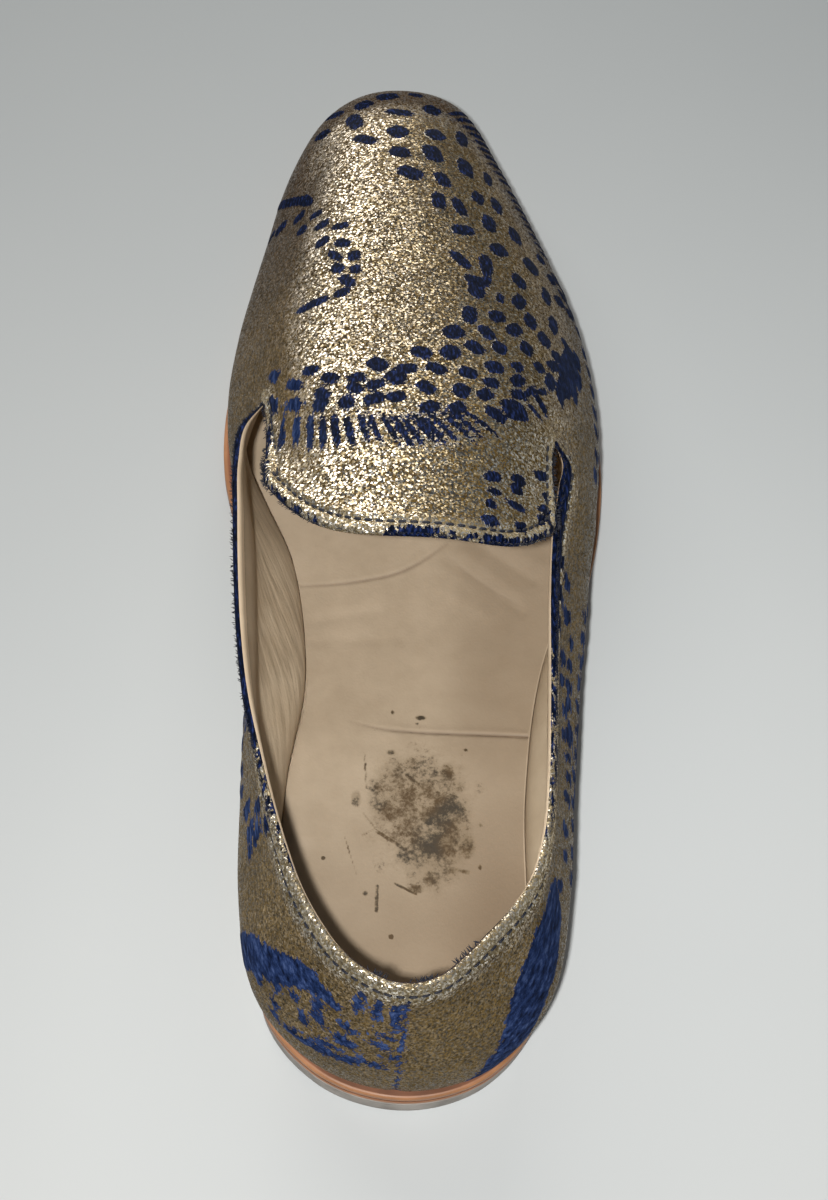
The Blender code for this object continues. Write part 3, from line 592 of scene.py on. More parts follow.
# Stitches: distance from the edge, step, half length, half thickness, how deep
# they lie, and the room left at a notch
STITCH_BACK = 2.3 * MM
STITCH_STEP = 2.7 * MM
STITCH_HALF = 0.95 * MM
STITCH_THICK = 0.33 * MM
STITCH_SINK = 0.2 * MM
NOTCH_CLEAR = 2.5 * MM

# Navy motif: how far out depths are kept (mm), the powers that round a spot and
# a bar, how much it is raised over which depth (mm), and how squarely a face
# has to look up, or the same way, to be marked
SPOT_REACH = 2.6
SPOT_POWER = 2.9
BAR_POWER = 5.0
NAVY_RAISE = 0.14 * MM
NAVY_EDGE = (-0.5, 0.5)
FACING_UP = 0.25
SAME_FACE = 0.2

# Navy left showing on the folded end of the tongue. Columns: x, width (mm)
TONGUE_FOLD = np.array([
    (-36, 0.4), (-22, -0.1), (-19, -0.9), (-8, -0.8), (-6, 0.3), (2, 0.5), (8, 0.1), (10, -0.4),
    (14, -0.3), (16, 0.4), (24, 0.1), (34, 0.5)])
# Navy left showing on the folded edge of the quarters, and how much more of it
# over the fold. Columns: distance from the heel, width (mm)
FOLD_LITTLE = np.array([(34, -1.6), (40, -0.6), (60, -0.2), (90, 0.2), (100, 1.2), (145, 1.4)])
FOLD_BIG = np.array([(30, -1.6), (36, -0.7), (45, -0.3), (68, 0.1), (78, 1.2), (150, 1.4)])
ROLL_NAVY = 0.3

# Seam up the back of the heel: place round the foot, half width of its navy line
# and what stands for none above it (mm), share of height where the line stops,
# depth and spread (mm) of its trough and the shares between which that ends
BACK_SEAM = -2.6 * MM
SEAM_NAVY = 0.1
SEAM_NONE = -1.0
SEAM_TOP = 0.94
SEAM_DEEP = 0.45 * MM
SEAM_WIDE = 0.8
SEAM_END = (1.0, 0.93)

# Wear and painted shade, each eased in from none to full between two values.
# Painted shade, darker and duller cloth: by share of height, by distance from the hem
# (mm), and from a slope on that is greater to the big-toe side
SHADE_WALL = (1.0, 0.45)
SHADE_HEM = (2.5, 8.0)
SHADE_SLOPE = 0.78
SHADE_SIDE = 0.25
SHADE_TURN = 0.55
# Rubbed pile by distance from the heel; painted highlight on the tongue: middle, reach
PILE_Y = (228.0 * MM, 138.0 * MM)
TONGUE_HIGHLIGHT_Y = (125.0 * MM, 32.0 * MM)
# Painted shadow on the lining at the back by the big-toe side, by distance from the
# heel, x and distance from the hem (mm)
LINING_SHADOW_Y = (85.0 * MM, 45.0 * MM)
LINING_SHADOW_X = (8.0 * MM, -6.0 * MM)
LINING_SHADOW_HEM = (2.5, 5.0)
# Torn edge of the lining behind the heel: by x from either side, and behind a
# distance from the heel
TORN_BIG = (-17.0 * MM, -13.0 * MM)
TORN_LITTLE = (24.0 * MM, 18.0 * MM)
TORN_BEHIND = 36.0 * MM

# Soft troughs (negative) and ridges on the vamp, and the share
# of each left off at its ends.
# Columns: x and distance from the heel of each end, depth, spread (mm)
VAMP_CREASES = np.array([
    (-30, 190, 26, 200, -0.5, 9), (-34, 176, 10, 178, -0.22, 3.5), (16, 172, 40, 182, -0.25, 4),
    (26, 150, 40, 147, -0.5, 2.2), (25, 154, 41, 152, 0.4, 2), (-40, 164, -28, 168, -0.3, 3),
    (-30, 226, -12, 236, -0.18, 5), (14, 214, 32, 204, -0.2, 5)])
CREASE_ENDS = 0.04

# Slanting wrinkles of the lining on the big-toe side: spacing, height (mm) and
# bend of each; the heights and lengths over which they wander (mm); where they
# are; and the heights over which drawn lines come in and go out (mm)
LINING_WRINKLES = ((2.3, 0.04, 0.9), (3.4, 0.05, 0.7), (5.6, 0.04, 0.5))
WRINKLE_WANDER = (9.0, 17.0)
WRINKLE_SLANT = 0.5
WRINKLE_MIDDLE = 108.0 * MM
WRINKLE_REACH = 42.0 * MM
PULL_LOW = (0.0, 4.0)
PULL_HIGH = (34.0, 20.0)

# Foot of the lining: gap to the insole, and the heights between which it leaves
# it (mm)
LINING_CLEAR = 0.1 * MM
LINING_FREE = (3.4, 25.4)

# Edge distances: what stands for far away (mm), rows of the vamp before the
# tongue that are measured, and points read between two of the edge
FAR_MM = 99.0
ROWS_BEFORE = 4
EDGE_FINE = 8


def relief(distance, parts):
    """Sum of soft bumps: each has a height, a place and a spread."""
    return sum(high * bell(distance - place, spread) for high, place, spread in parts)


def to_segment(points, start, end):
    """Distance of points from a straight piece, and share of the way along it."""
    along = end - start
    share = np.clip(((points - start) @ along) / max(along @ along, LEAST), 0.0, 1.0)
    return np.linalg.norm(points - start - share[:, None] * along, axis=1), share


def edge_loop(columns, patch):
    """Points round the opening: the collar from the big-toe notch, then the tongue."""
    tongue = patch[SIDE_CELLS + 1:]
    return np.concatenate([columns[:, -1], tongue[:, 0], tongue[-1, 1:], tongue[-2::-1, -1]])


def wall_anchor(ring, lengths, t, row):
    """Vertex of the strip nearest a length round the foot and a share of the height."""
    gap = round_gap(lengths, row[0] * MM)
    return ring[int(np.argmin(gap)), int(np.argmin(np.abs(t - row[1])))]


def woven_spots(points, normals, ring, lengths, t):
    """Signed depth inside the navy motif in mm: above 0 is navy.

    Each spot is a rounded diamond on the tangent plane at its place: depth is
    half width times one less the root of the summed powers of the two shares.
    A band is the depth inside a row of rounded bars of changing width.
    """
    depth = np.full(len(points), -SPOT_REACH)
    facing = np.flatnonzero(normals[:, 2] > FACING_UP)
    plan = points[facing][:, :2]
    up = np.array([0.0, 0.0, 1.0])
    ahead = np.array([0.0, 1.0, 0.0])

    def mark(place, towards, long, wide, angle, power=SPOT_POWER):
        normal = normals[place]
        first = unit(towards - normal * (towards @ normal))
        lean = np.radians(angle)
        axis = first * np.cos(lean) + np.cross(first, normal) * np.sin(lean)
        off = (points - points[place]) / MM
        near = np.flatnonzero((np.abs(off) < long + SPOT_REACH).all(axis=1))
        ways = off[near] @ np.stack([axis / long, np.cross(normal, axis) / wide], -1)
        share = (np.abs(ways) ** power).sum(axis=1) ** (1 / power)
        same = normals[near] @ normal > SAME_FACE
        inside = np.where(same, wide * (1 - share), -SPOT_REACH)
        depth[near] = np.maximum(depth[near], inside)

    for table, power in ((VAMP_SPOTS, SPOT_POWER), (FRINGE_BARS, BAR_POWER)):
        for x, y, long, wide, angle in table:
            off = ((plan - np.array([x, y]) * MM) ** 2).sum(axis=1)
            mark(facing[int(np.argmin(off))], ahead, long, wide, angle, power)
    rows = list(WALL_SPOTS)
    for first, last, share, step, *shape in SPOT_ROWS:
        rows += [(at, share, *shape) for at in np.arange(first, last, step)]
    for row in rows:
        mark(wall_anchor(ring, lengths, t, row), up, row[2], row[3], -row[4])
    for band in BANDS:
        band = np.array(band)
        places = points[[wall_anchor(ring, lengths, t, row) for row in band]]
        for k in range(len(band) - 1):
            gap, share = to_segment(points, places[k], places[k + 1])
            wide = band[k, 2] + (band[k + 1, 2] - band[k, 2]) * share
            depth = np.maximum(depth, wide - gap / MM)
    return np.clip(depth, -SPOT_REACH, SPOT_REACH)


def edge_distance(points, columns, patch, loop):
    """Distance from the opening's edge in mm, along the walls and over the tongue."""
    gap = np.full(len(points), FAR_MM)
    steps = np.linalg.norm(np.diff(points[columns], axis=1), axis=2)[:, ::-1]
    run = np.pad(np.cumsum(steps, axis=1), ((0, 0), (1, 0)))[:, ::-1]
    gap[columns] = run / MM
    shares = np.linspace(0.0, 1.0, EDGE_FINE * len(loop))
    fine = resample(points[np.append(loop, loop[0])], shares)
    for row in patch[SIDE_CELLS - ROWS_BEFORE:]:
        gap[row] = np.minimum(gap[row], nearest(points[row], fine) / MM)
    return gap


def vamp_creases(points, normals):
    """Height of the listed creases: soft bells across straight lines in plan."""
    high = np.zeros(len(points))
    for x0, y0, x1, y1, depth, spread in VAMP_CREASES:
        ends = np.array([(x0, y0), (x1, y1)]) * MM
        gap, share = to_segment(points[:, :2], *ends)
        taper = np.sin(np.pi * np.clip(share, CREASE_ENDS, 1 - CREASE_ENDS))
        high += depth * bell(gap / MM, spread) * taper * (normals[:, 2] > 0.0)
    return high * MM


def lining_side(points, normals, ring, lengths, t, skive):
    """Inside of the upper: the outside set in by the wall's thickness.

    It is drawn in at the foot to meet the insole, and wrinkled on the big-toe
    side by a sum of sines across a slant. Returns the points, and for the
    strip the way across and along the wrinkles and how drawn the leather is.
    """
    inner = points - normals * (WALL * skive)[:, None]
    foot, out, little = foot_at(lengths)
    inset = np.where(little, inset_little(foot[:, 1]), inset_big(foot[:, 1]))
    high = (points[ring, 2] - points[ring[:, :1], 2]) / MM
    seat = (foot - out * (inset - LINING_CLEAR)[:, None])[:, None, :]
    rest = ease(high, *LINING_FREE)[..., None]
    inner[ring, :2] = seat * (1 - rest) + inner[ring, :2] * rest

    envelope = (bell(foot[:, 1] - WRINKLE_MIDDLE, WRINKLE_REACH) * ~little)[:, None]
    length = lengths[:, None] / MM
    across = high + WRINKLE_SLANT * length
    wander = np.sin(high / WRINKLE_WANDER[0] + length / WRINKLE_WANDER[1])
    wrinkle = sum(tall * np.sin(2 * np.pi * (across / step + bend * wander))
                  for step, tall, bend in LINING_WRINKLES)
    inner[ring] += normals[ring] * (wrinkle * MM * envelope * np.sin(np.pi * t))[..., None]
    inner[ring[:, 0], 2] = points[ring[:, 0], 2]
    root = np.hypot(1.0, WRINKLE_SLANT)
    lined = ease(high, *PULL_LOW) * ease(high, *PULL_HIGH) * envelope
    return inner, (across / root, (WRINKLE_SLANT * high - length) / root, lined)


def upper_shell():
    """The upper as one closed shell: cloth outside, rolled edge, lining inside.

    The cloth is the worked-out surface with creases, the folded edge's ridges
    and the raised motif along its normals. The edge is a half circle from
    cloth to lining. Returns points, faces, what the points carry for the
    materials, which faces are lining, the edge and the navy along it.
    """
    points, quads, ring, patch, lengths, t = upper_surface()
    normals = point_normals(points, quads)
    columns = np.append(ring[FRONT_CELLS:], ring[:1], axis=0)
    loop = edge_loop(columns, patch)
    depth = woven_spots(points, normals, ring, lengths, t)
    gap = edge_distance(points, columns, patch, loop)
    notches = points[[ring[0, -1], ring[FRONT_CELLS, -1]]]
    near = nearest(points, notches)
    skive = SKIVE_SHARE + (1 - SKIVE_SHARE) * smooth(near / SKIVE_RUN)
    inner, drawn = lining_side(points, normals, ring, lengths, t, skive)

    seam_column = np.argmin(round_gap(lengths, BACK_SEAM))
    seam = np.abs(np.arange(len(lengths)) - seam_column) * (lengths[-1] - lengths[-2]) / MM
    line = np.where(t < SEAM_TOP, SEAM_NAVY, SEAM_NONE) - seam[:, None]
    depth[ring] = np.maximum(depth[ring], line)
    rise = vamp_creases(points, normals)
    rise += relief(gap, EDGE_RELIEF) * MM * skive * smooth(near / EDGE_RUN)
    rise += NAVY_RAISE * ease(depth, *NAVY_EDGE)
    rise[ring] -= SEAM_DEEP * bell(seam, SEAM_WIDE)[:, None] * ease(t, *SEAM_END)
    rise[ring[:, 0]] = 0.0
    outer = points + normals * rise[:, None]

    edge = points[loop]
    collar = len(columns)
    fold_navy = np.where(edge[:, 0] > 0, *(np.interp(edge[:, 1] / MM, *table.T)
                                           for table in (FOLD_LITTLE, FOLD_BIG)))
    fold_navy[collar:] = np.interp(edge[collar:, 0] / MM, *TONGUE_FOLD.T)
    hem_navy = np.full(len(points), -SPOT_REACH)
    hem_navy[loop] = fold_navy
    hem_navy[columns] = fold_navy[:collar, None]
    rear = patch[SIDE_CELLS + 1:]
    hem_navy[rear] = np.interp(points[rear, 0] / MM, *TONGUE_FOLD.T)
    depth = np.maximum(depth, hem_navy - gap)

    first, second = outer[loop], inner[loop]
    tangent = np.roll(edge, -1, axis=0) - np.roll(edge, 1, axis=0)
    away = unit(np.cross(normals[loop], tangent))
    share = (np.arange(1, FOLD_CELLS) / FOLD_CELLS)[:, None]
    bow = np.pi * share[..., None]
    radius = np.linalg.norm(first - second, axis=1)[:, None] / 2
    rolled = ((first + second) / 2 + (first - second) / 2 * np.cos(bow)
              + away * radius * np.sin(bow))

    count = len(points)
    fold = np.concatenate([loop[None], 2 * count + numbered(rolled), count + loop[None]])
    base = ring[:, 0]
    beyond = np.roll(base, -1)
    feet = np.stack([beyond, base, base + count, beyond + count], -1)
    faces = np.concatenate([quads, grid_faces(fold, wrap=1, flip=True),
                            quads[:, ::-1] + count, feet])
    finish = np.ones(len(faces), np.int32)
    finish[:len(quads) + CLOTH_ROWS * len(loop)] = 0
    whole = np.concatenate([outer, inner, rolled.reshape(-1, 3)])

    # Painted shade: the walls, steep faces and the big-toe side get darker, duller cloth, fading
    # out near the hem
    soil = np.zeros(count)
    soil[ring] = ease(t, *SHADE_WALL)
    steep = SHADE_SLOPE + SHADE_SIDE * np.clip(-normals[:, 0], 0.0, 1.0)
    soil = np.maximum(soil, smooth((steep - normals[:, 2]) / SHADE_TURN))
    soil *= ease(gap, *SHADE_HEM)
    # The tongue carries a painted highlight that brightens its gold
    cloth = {"soil": soil, "heel": ease(points[:, 1], *PILE_Y),
             "fresh": bell(points[:, 1] - TONGUE_HIGHLIGHT_Y[0], TONGUE_HIGHLIGHT_Y[1]) * (1 - soil)}
    values = {key: np.pad(column, (0, len(whole) - count)) for key, column in cloth.items()}
    turned = fold_navy + ROLL_NAVY * share
    values["spot_mm"] = np.concatenate([depth, np.full(count, -SPOT_REACH), turned.reshape(-1)])
    hem = values["hem_mm"] = np.concatenate([gap, gap, np.zeros(turned.size)])
    x, y = whole[:, 0], whole[:, 1]
    values["torn"] = ease(x, *TORN_BIG) * ease(x, *TORN_LITTLE) * (y < TORN_BEHIND)
    # Painted shadow on the lining at the back by the big-toe side
    values["grimy"] = ease(y, *LINING_SHADOW_Y) * ease(x, *LINING_SHADOW_X) * ease(hem, *LINING_SHADOW_HEM)
    for key, column in zip(("pull_across", "pull_along", "pull_amount"), drawn):
        values[key] = np.zeros(len(whole))
        values[key][count + ring] = column
    return whole, faces, values, finish, (first, normals[loop], away, notches), fold_navy


def capsules(centres, along, outwards, half, thick, rings=7, sides=8, blunt=1.02):
    """Stitches: each an ellipsoid-ended rod lying along its direction.

    Its radius is the root of a blunt end less the fourth power of the way along it.
    """
    v = np.linspace(-1.0, 1.0, rings)
    a = np.arange(sides) * (2 * np.pi / sides)
    radius = (thick * np.sqrt(np.clip(blunt - v ** 4, 0.0, 1.0)))[:, None]
    parts = ((np.cross(along, outwards), radius * np.cos(a)), (outwards, radius * np.sin(a)),
             (along, half * v[:, None]))
    grid = centres[:, None, None, :] + sum(
        way[:, None, None, :] * size[None, ..., None] for way, size in parts)
    index = numbered(grid)
    faces = grid_faces(index, wrap=2).tolist()
    return grid.reshape(-1, 3), faces + index[:, 0].tolist() + index[:, -1, ::-1].tolist()


def edge_stitches(edge, normals, away, notches):
    """Row of stitches a fixed distance inside the opening's edge, at equal steps."""
    closed = np.append(np.arange(len(edge)), 0)
    run = run_along(edge[closed])
    at = np.arange(STITCH_STEP / 2, run[-1], STITCH_STEP)
    place, normal, outside = (read_along(at, run, rows[closed]) for rows in (edge, normals, away))
    normal = unit(normal)
    clear = nearest(place, notches) > NOTCH_CLEAR
    along = unit(np.cross(-outside, normal))
    centre = place - outside * STITCH_BACK - normal * STITCH_SINK
    return capsules(centre[clear], along[clear], normal[clear], STITCH_HALF, STITCH_THICK)


# Loose fibres: count, half length, half thickness, seed of the chance
EDGE_FUZZ = (900, 0.65 * MM, 0.09 * MM, 5)
TORN_THREADS = (46, 1.1 * MM, 0.16 * MM, 8)
# How they stand: most shift along the edge in steps of it, least and most lean
# either way, stray lean along the edge, and share of the half length clear of it
FIBRE_SHIFT = 0.25
FIBRE_AWAY = (0.3, 1.0)
FIBRE_ASIDE = (0.0, 0.9)
FIBRE_STRAY = 0.5
FIBRE_CLEAR = 0.6
# Fuzz starts this far past the edge and this share of it inside, more often where
# the fold is navy: width added, least and most
FUZZ_START = 0.9 * MM
FUZZ_INSIDE = 0.5
FUZZ_NAVY = (1.2, 0.05, 1.5)
# Torn threads start this far inside, behind a distance from the heel.
# Columns of the places: x, spread (mm)
TORN_INSIDE = 1.8 * MM
TORN_REACH = 40.0 * MM
TORN_PLACES = ((-8.0, 1.8), (4.0, 2.2), (13.0, 2.4))


def loose_fibres(start, away, aside, likely, count, half, thick, seed):
    """Worn fibres: short rods at places drawn by chance along a line.

    They are as many as each place is likely to have, and lean by chance
    between two directions and along the line.
    """
    chance = np.random.default_rng(seed)
    pick = chance.choice(len(start), count, p=likely / likely.sum())
    along = np.roll(start, -1, axis=0)[pick] - np.roll(start, 1, axis=0)[pick]
    place = start[pick] + along * chance.uniform(-FIBRE_SHIFT, FIBRE_SHIFT, (count, 1))
    along = unit(along)
    lean = away[pick] * chance.uniform(*FIBRE_AWAY, (count, 1))
    lean = lean + aside[pick] * chance.uniform(*FIBRE_ASIDE, (count, 1))
    lean = unit(lean + along * chance.normal(0.0, FIBRE_STRAY, (count, 1)))
    outwards = unit(np.cross(lean, along))
    middle = place + lean * half * FIBRE_CLEAR
    return capsules(middle, lean, outwards, half, thick, rings=4, sides=5)


def weld(points, faces):
    """Join points that fall together and drop the corners that a face then repeats."""
    key = np.round(points / SAME_POINT).astype(np.int64)
    _, first, group = np.unique(key, axis=0, return_index=True, return_inverse=True)
    faces = group.reshape(-1)[faces]
    same = faces == np.roll(faces, -1, axis=1)
    once = same.sum(axis=1) == 1
    three = faces[once][~same[once]].reshape(-1, 3)
    return points[first], faces[~same.any(axis=1)].tolist() + three.tolist()


def slab(angle, across, rings, below):
    """Plate with the outsole's plan, as closed sections carried from heel to toe.

    Each section climbs the little-toe side through the rings (set-in and
    height as functions), crosses the top, comes down the big-toe side and
    crosses back underneath. Steps across the top are half even, half crowded
    to the edges by a cosine.
    """
    sides = []
    for both in (angle, 2 * np.pi - angle):
        plans = [sole_edge(both, inset(both))[0] for inset, _ in rings]
        sides.append(np.stack([np.column_stack([plan, height(plan[:, 1])])
                               for plan, (_, height) in zip(plans, rings)], 1))
    little, big = sides
    even = np.linspace(0.0, 1.0, across + 1)
    s = ((1 - np.cos(np.pi * even)) / 4 + even / 2)[None, 1:-1, None]
    top = little[:, -1:] * (1 - s) + big[:, -1:] * s
    s = np.linspace(0.0, 1.0, below + 1)[None, 1:-1, None]
    under = big[:, :1] * (1 - s) + little[:, :1] * s
    section = np.concatenate([little, top, big[:, ::-1], under], axis=1)
    index = numbered(section)
    top_points = index[:, len(rings):len(rings) + across - 1]
    return section.reshape(-1, 3), grid_faces(index, wrap=1), index, top_points.reshape(-1)


# Soft folds of the sock.
# Columns: x and distance from the heel of each end, height, spread (mm)
SOCK_FOLDS = np.array([
    (10, 136, 28, 122, -0.2, 1.5), (14, 138, 27, 127.5, 0.22, 1.8),
    (15.2, 142, 30.7, 130.7, -0.2, 1.4), (22, 141.5, 33, 135, 0.2, 2),
    (8, 128.5, 20, 121, 0.18, 2.4), (-22, 118, -8, 121, -0.2, 2), (-25, 100, -23, 60, 0.35, 2.5),
    (-24, 112, -2, 113.5, -0.12, 1.6)])

# Sharp creases of the sock, each a smooth line, with their depth and spread, the
# share, offset and spread of the lip beside them, and half the step over which
# their slope is read (mm). Columns: x, distance from the heel, how dark its painted shade is
SOCK_CREASES = (
    ((-27, 127.6, 0.2), (-18, 128.4, 0.35), (-10.7, 129.6, 0.45), (-0.3, 132.8, 0.5),
     (5, 136.2, 0.4), (10.5, 140.8, 0.2)),
    ((-15.1, 90.3, 0), (-5.5, 87.9, 0.3), (2, 87.2, 0.55), (12, 86.9, 0.7), (20, 86.8, 0.85),
     (31, 86.5, 1)),
    ((8, 139, 0), (16, 131.5, 0.18), (24, 126, 0.12), (31, 122, 0)))
CREASE_DEEP = 0.32
CREASE_WIDE = 0.42
CREASE_LIP = (0.4, 1.1, 0.8)
SLOPE_STEP = 0.5

# Dirt on the sock, with the shares of its reach between which a blot and a
# scratch come up to full.
# Columns: x, distance from the heel, half length, half width (mm), amount
BLOTS = np.array([
    (4, 66.5, 22, 16, 0.46), (5.5, 64, 19, 12, 0.66), (-3.5, 71, 11, 6.5, 0.6),
    (-11.5, 69.4, 2.6, 1.6, 0.6), (-3.4, 74.5, 3, 3.2, 0.5), (9.5, 76.4, 3.6, 2.4, 0.66),
    (5.1, 65.6, 4.4, 3.2, 0.76), (8.5, 59.3, 5, 6, 0.74), (14, 58.4, 4.4, 2.6, 0.66),
    (6.1, 50.4, 2.8, 3, 0.64), (2.7, 47.4, 1.5, 1.9, 0.66), (-9, 46.1, 0.9, 0.7, 0.7),
    (3.5, 91.3, 0.8, 1.6, 0.85), (-3.1, 92.6, 0.9, 0.4, 0.7), (2.6, 89.6, 0.5, 0.5, 0.6),
    (3.4, 94, 3.6, 3, 0.2), (12, 72.7, 2.4, 2.8, 0.56), (12.7, 67.4, 1.8, 2.2, 0.56),
    (-3.5, 81.5, 1, 1.3, 0.6), (1.5, 78.4, 2.8, 2.6, 0.56), (12.5, 62.6, 2, 2, 0.56),
    (10, 52.1, 1.5, 3.4, 0.62), (-18.8, 54.5, 0.6, 0.6, 1.2), (17.4, 63.4, 0.6, 0.5, 0.9),
    (17.3, 53, 0.8, 0.5, 0.9), (14, 82.6, 0.5, 0.6, 0.8), (-3, 35.8, 0.6, 0.6, 1.8),
    (-6.5, 45, 0.6, 0.6, 0.8)])
BLOT_RIM = (1.3, 0.4)
SCRATCH_RIM = (1.5, 0.4)

# Scratches on the sock.
# Columns: x and distance from the heel of each end, half width (mm), amount
SCRATCHES = np.array([
    (-6.2, 61.1, 3.2, 55, 0.55, 0.7), (3.2, 54, 14.4, 51.7, 0.7, 0.62),
    (0.1, 75.6, 8.5, 68.6, 0.55, 0.7), (8.5, 68.6, 13, 72.2, 0.7, 0.62),
    (-9.7, 81.3, -9.2, 72.2, 0.22, 0.6), (-6.3, 48, -6.4, 41.8, 0.35, 0.8),
    (-2.2, 48.6, 2.7, 46.1, 0.35, 0.8), (-9.7, 65.7, -6.7, 61.8, 0.25, 0.6),
    (-10.1, 60.2, -6.5, 62.4, 0.25, 0.55), (-14.1, 60.3, -11, 50.4, 0.2, 0.5),
    (-4.8, 67.5, 0.2, 61.2, 0.3, 0.6)])

# Painted shade on the sock, eased in by distance from the heel and by x (mm), with
# the most of each
SOCK_SHADE_Y = (80.0, 30.0)
SOCK_SHADE_X = (2.0, 22.0)
SOCK_SHADE_MOST = (0.6, 0.5)
# Painted shadow along the sock's edge, eased in by distance from its rim, by distance
# from the heel and by x (mm)
EDGE_SHADOW_RIM = (6.5, 2.925)
EDGE_SHADOW_Y = (70.0, 40.0)
EDGE_SHADOW_X = (12.0, -2.0)

# Stations of the sock: finer where it shows, between two distances from the heel
SOCK_SHOWS = (15.0 * MM, 145.0 * MM)
SOCK_COUNTS = (50, 420, 70)
SOCK_ACROSS = 150
SOCK_UNDER = 8
SOCK_ROUND = 0.3 * MM
SOCK_BENDS = 4


def insole_plate():
    """Sock: the wall's foot line set in, with a rounded edge, folds and creases.

    A fold is a bell across a straight piece, a crease a bell across a smooth
    line with a lip beside it and painted shade along it. Dirt is full in the middle
    of a blot or scratch and fades past its rim. Painted shade grows to the back and
    the little toe, and a painted shadow runs along the edge at the back.
    """
    def ring(extra, lift):
        return (lambda a: ledge(station(a)) + extra + np.where(
            a < np.pi, inset_little(station(a)), inset_big(station(a))),
            lambda y: foot_z(y) + lift)
    rings = [ring(0.0, 0.0)] + [
        ring(SOCK_ROUND * (1 - np.cos(b)), INSOLE_THICK - SOCK_ROUND * (1 - np.sin(b)))
        for b in np.linspace(0.0, np.pi / 2, SOCK_BENDS)]
    first, last = turn(SOCK_SHOWS, HEEL_END, TOE_END)
    angle = np.concatenate([
        np.linspace(0.0, first, SOCK_COUNTS[0])[:-1],
        turn(np.linspace(*SOCK_SHOWS, SOCK_COUNTS[1]), HEEL_END, TOE_END),
        np.linspace(last, np.pi, SOCK_COUNTS[2])[1:]])
    points, faces, index, top = slab(angle, SOCK_ACROSS, rings, SOCK_UNDER)
    flat = points[top, :2] / MM
    x, y = flat.T
    high = np.zeros(len(flat))
    line = np.zeros(len(flat))
    dirt = np.zeros(len(flat))
    for *ends, depth, spread in SOCK_FOLDS:
        high += depth * bell(to_segment(flat, *np.reshape(ends, (2, 2)))[0], spread)
    share, beside, spread = CREASE_LIP
    for crease in SOCK_CREASES:
        at, height, darkness = np.transpose(crease)
        way = through(at, height)
        slope = (way(x + SLOPE_STEP) - way(x - SLOPE_STEP)) / (2 * SLOPE_STEP)
        gap = (y - way(x)) / np.hypot(1.0, slope)
        dark = np.interp(x, at, darkness) * ((x > at[0]) & (x < at[-1]))
        high -= CREASE_DEEP * dark * bell(gap, CREASE_WIDE)
        high += CREASE_DEEP * share * dark * bell(gap - beside, spread)
        # Painted shade along each crease, carried to the sock's colour
        line = np.maximum(line, dark * bell(gap, CREASE_WIDE))
    points[top, 2] += high * MM
    for at, ahead, long, wide, much in BLOTS:
        reach = np.hypot((x - at) / wide, (y - ahead) / long)
        dirt = np.maximum(dirt, much * ease(reach, *BLOT_RIM))
    for *ends, half, much in SCRATCHES:
        reach = to_segment(flat, *np.reshape(ends, (2, 2)))[0] / half
        dirt = np.maximum(dirt, much * ease(reach, *SCRATCH_RIM))
    # Painted shade towards the heel and the little-toe side
    wear_and_shade = SOCK_SHADE_MOST[0] * ease(y, *SOCK_SHADE_Y) + SOCK_SHADE_MOST[1] * ease(x, *SOCK_SHADE_X)
    left, right = (points[index[:, k]] for k in (len(rings) - 1, len(rings) + SOCK_ACROSS - 1))
    across = np.linspace(0.0, 1.0, SOCK_ACROSS + 1)[1:-1]
    rim = np.minimum(across, 1 - across) * np.linalg.norm(left - right, axis=1)[:, None] / MM
    # Painted shadow along the edge at the back and the big-toe side
    edge_shadow = ease(rim.reshape(-1), *EDGE_SHADOW_RIM) * ease(y, *EDGE_SHADOW_Y) * ease(x, *EDGE_SHADOW_X)
    marks = {"dirt": dirt, "crease": line, "wear_and_shade": wear_and_shade, "edge_shadow": edge_shadow}
    carried = np.zeros((len(points), len(marks)))
    carried[top] = np.stack(list(marks.values()), -1)
    points, faces = weld(np.column_stack([points, carried]), faces)
    return points[:, :3], faces, dict(zip(marks, points[:, 3:].T))


# Edge of the outsole, bottom to top, with what stands for its top and underside.
# Columns: set back from the edge (mm), share of thickness
SOLE_PROFILE = np.array([
    (1.1, 0), (0.45, 0.04), (0.12, 0.12), (0, 0.22), (0, 0.46), (0.1, 0.5), (0.45, 0.535),
    (0.5, 0.56), (0.45, 0.585), (0.1, 0.62), (0, 0.66), (0, 0.86), (0.1, 0.93), (0.35, 0.985),
    (0.8, 1)])
EDGE_ABOVE = 1.2
EDGE_BELOW = -0.2
SOLE_STATIONS = 361
SOLE_ACROSS = 40


def outsole_plate():
    """Leather sole: plan edge with one groove along its side, arched underside."""
    rings = [(lambda a, s=s: np.full(a.shape, s * MM), lambda y, f=f: underside(y) + SOLE_THICK * f)
             for s, f in SOLE_PROFILE]
    angle = np.linspace(0.0, np.pi, SOLE_STATIONS)
    points, faces, index, _ = slab(angle, SOLE_ACROSS, rings, SOLE_ACROSS)
    share = SOLE_PROFILE[:, 1]
    inside = np.ones(SOLE_ACROSS - 1)
    section = np.concatenate([share, EDGE_ABOVE * inside, share[::-1], EDGE_BELOW * inside])
    points, faces = weld(np.column_stack([points, np.tile(section, len(index))]), faces)
    return points[:, :3], faces, {"edge_share": points[:, 3]}


# Heel block: set back from the outsole's edge at the top and the ground, its
# hollow breast and the wear of its outer back corner
HEEL_INSET = 0.3 * MM
HEEL_TAPER = 0.3 * MM
HEEL_HOLLOW = 4.0 * MM
HEEL_ROUND = 0.5 * MM
WEAR_DIRECTION = (0.72, -0.69)
WEAR_START = 2.0 * MM
WEAR_LENGTH = 24.0 * MM
WEAR_DEPTH = 4.2 * MM
WEAR_LIMIT = 1.2
WEAR_POWER = 1.6
# Its points round the side and along the breast, and its rows on the underside,
# up the side and on the top
HEEL_ROUND_COUNT = 241
BREAST_COUNT = 61
HEEL_ROWS = (26, 9, 12)


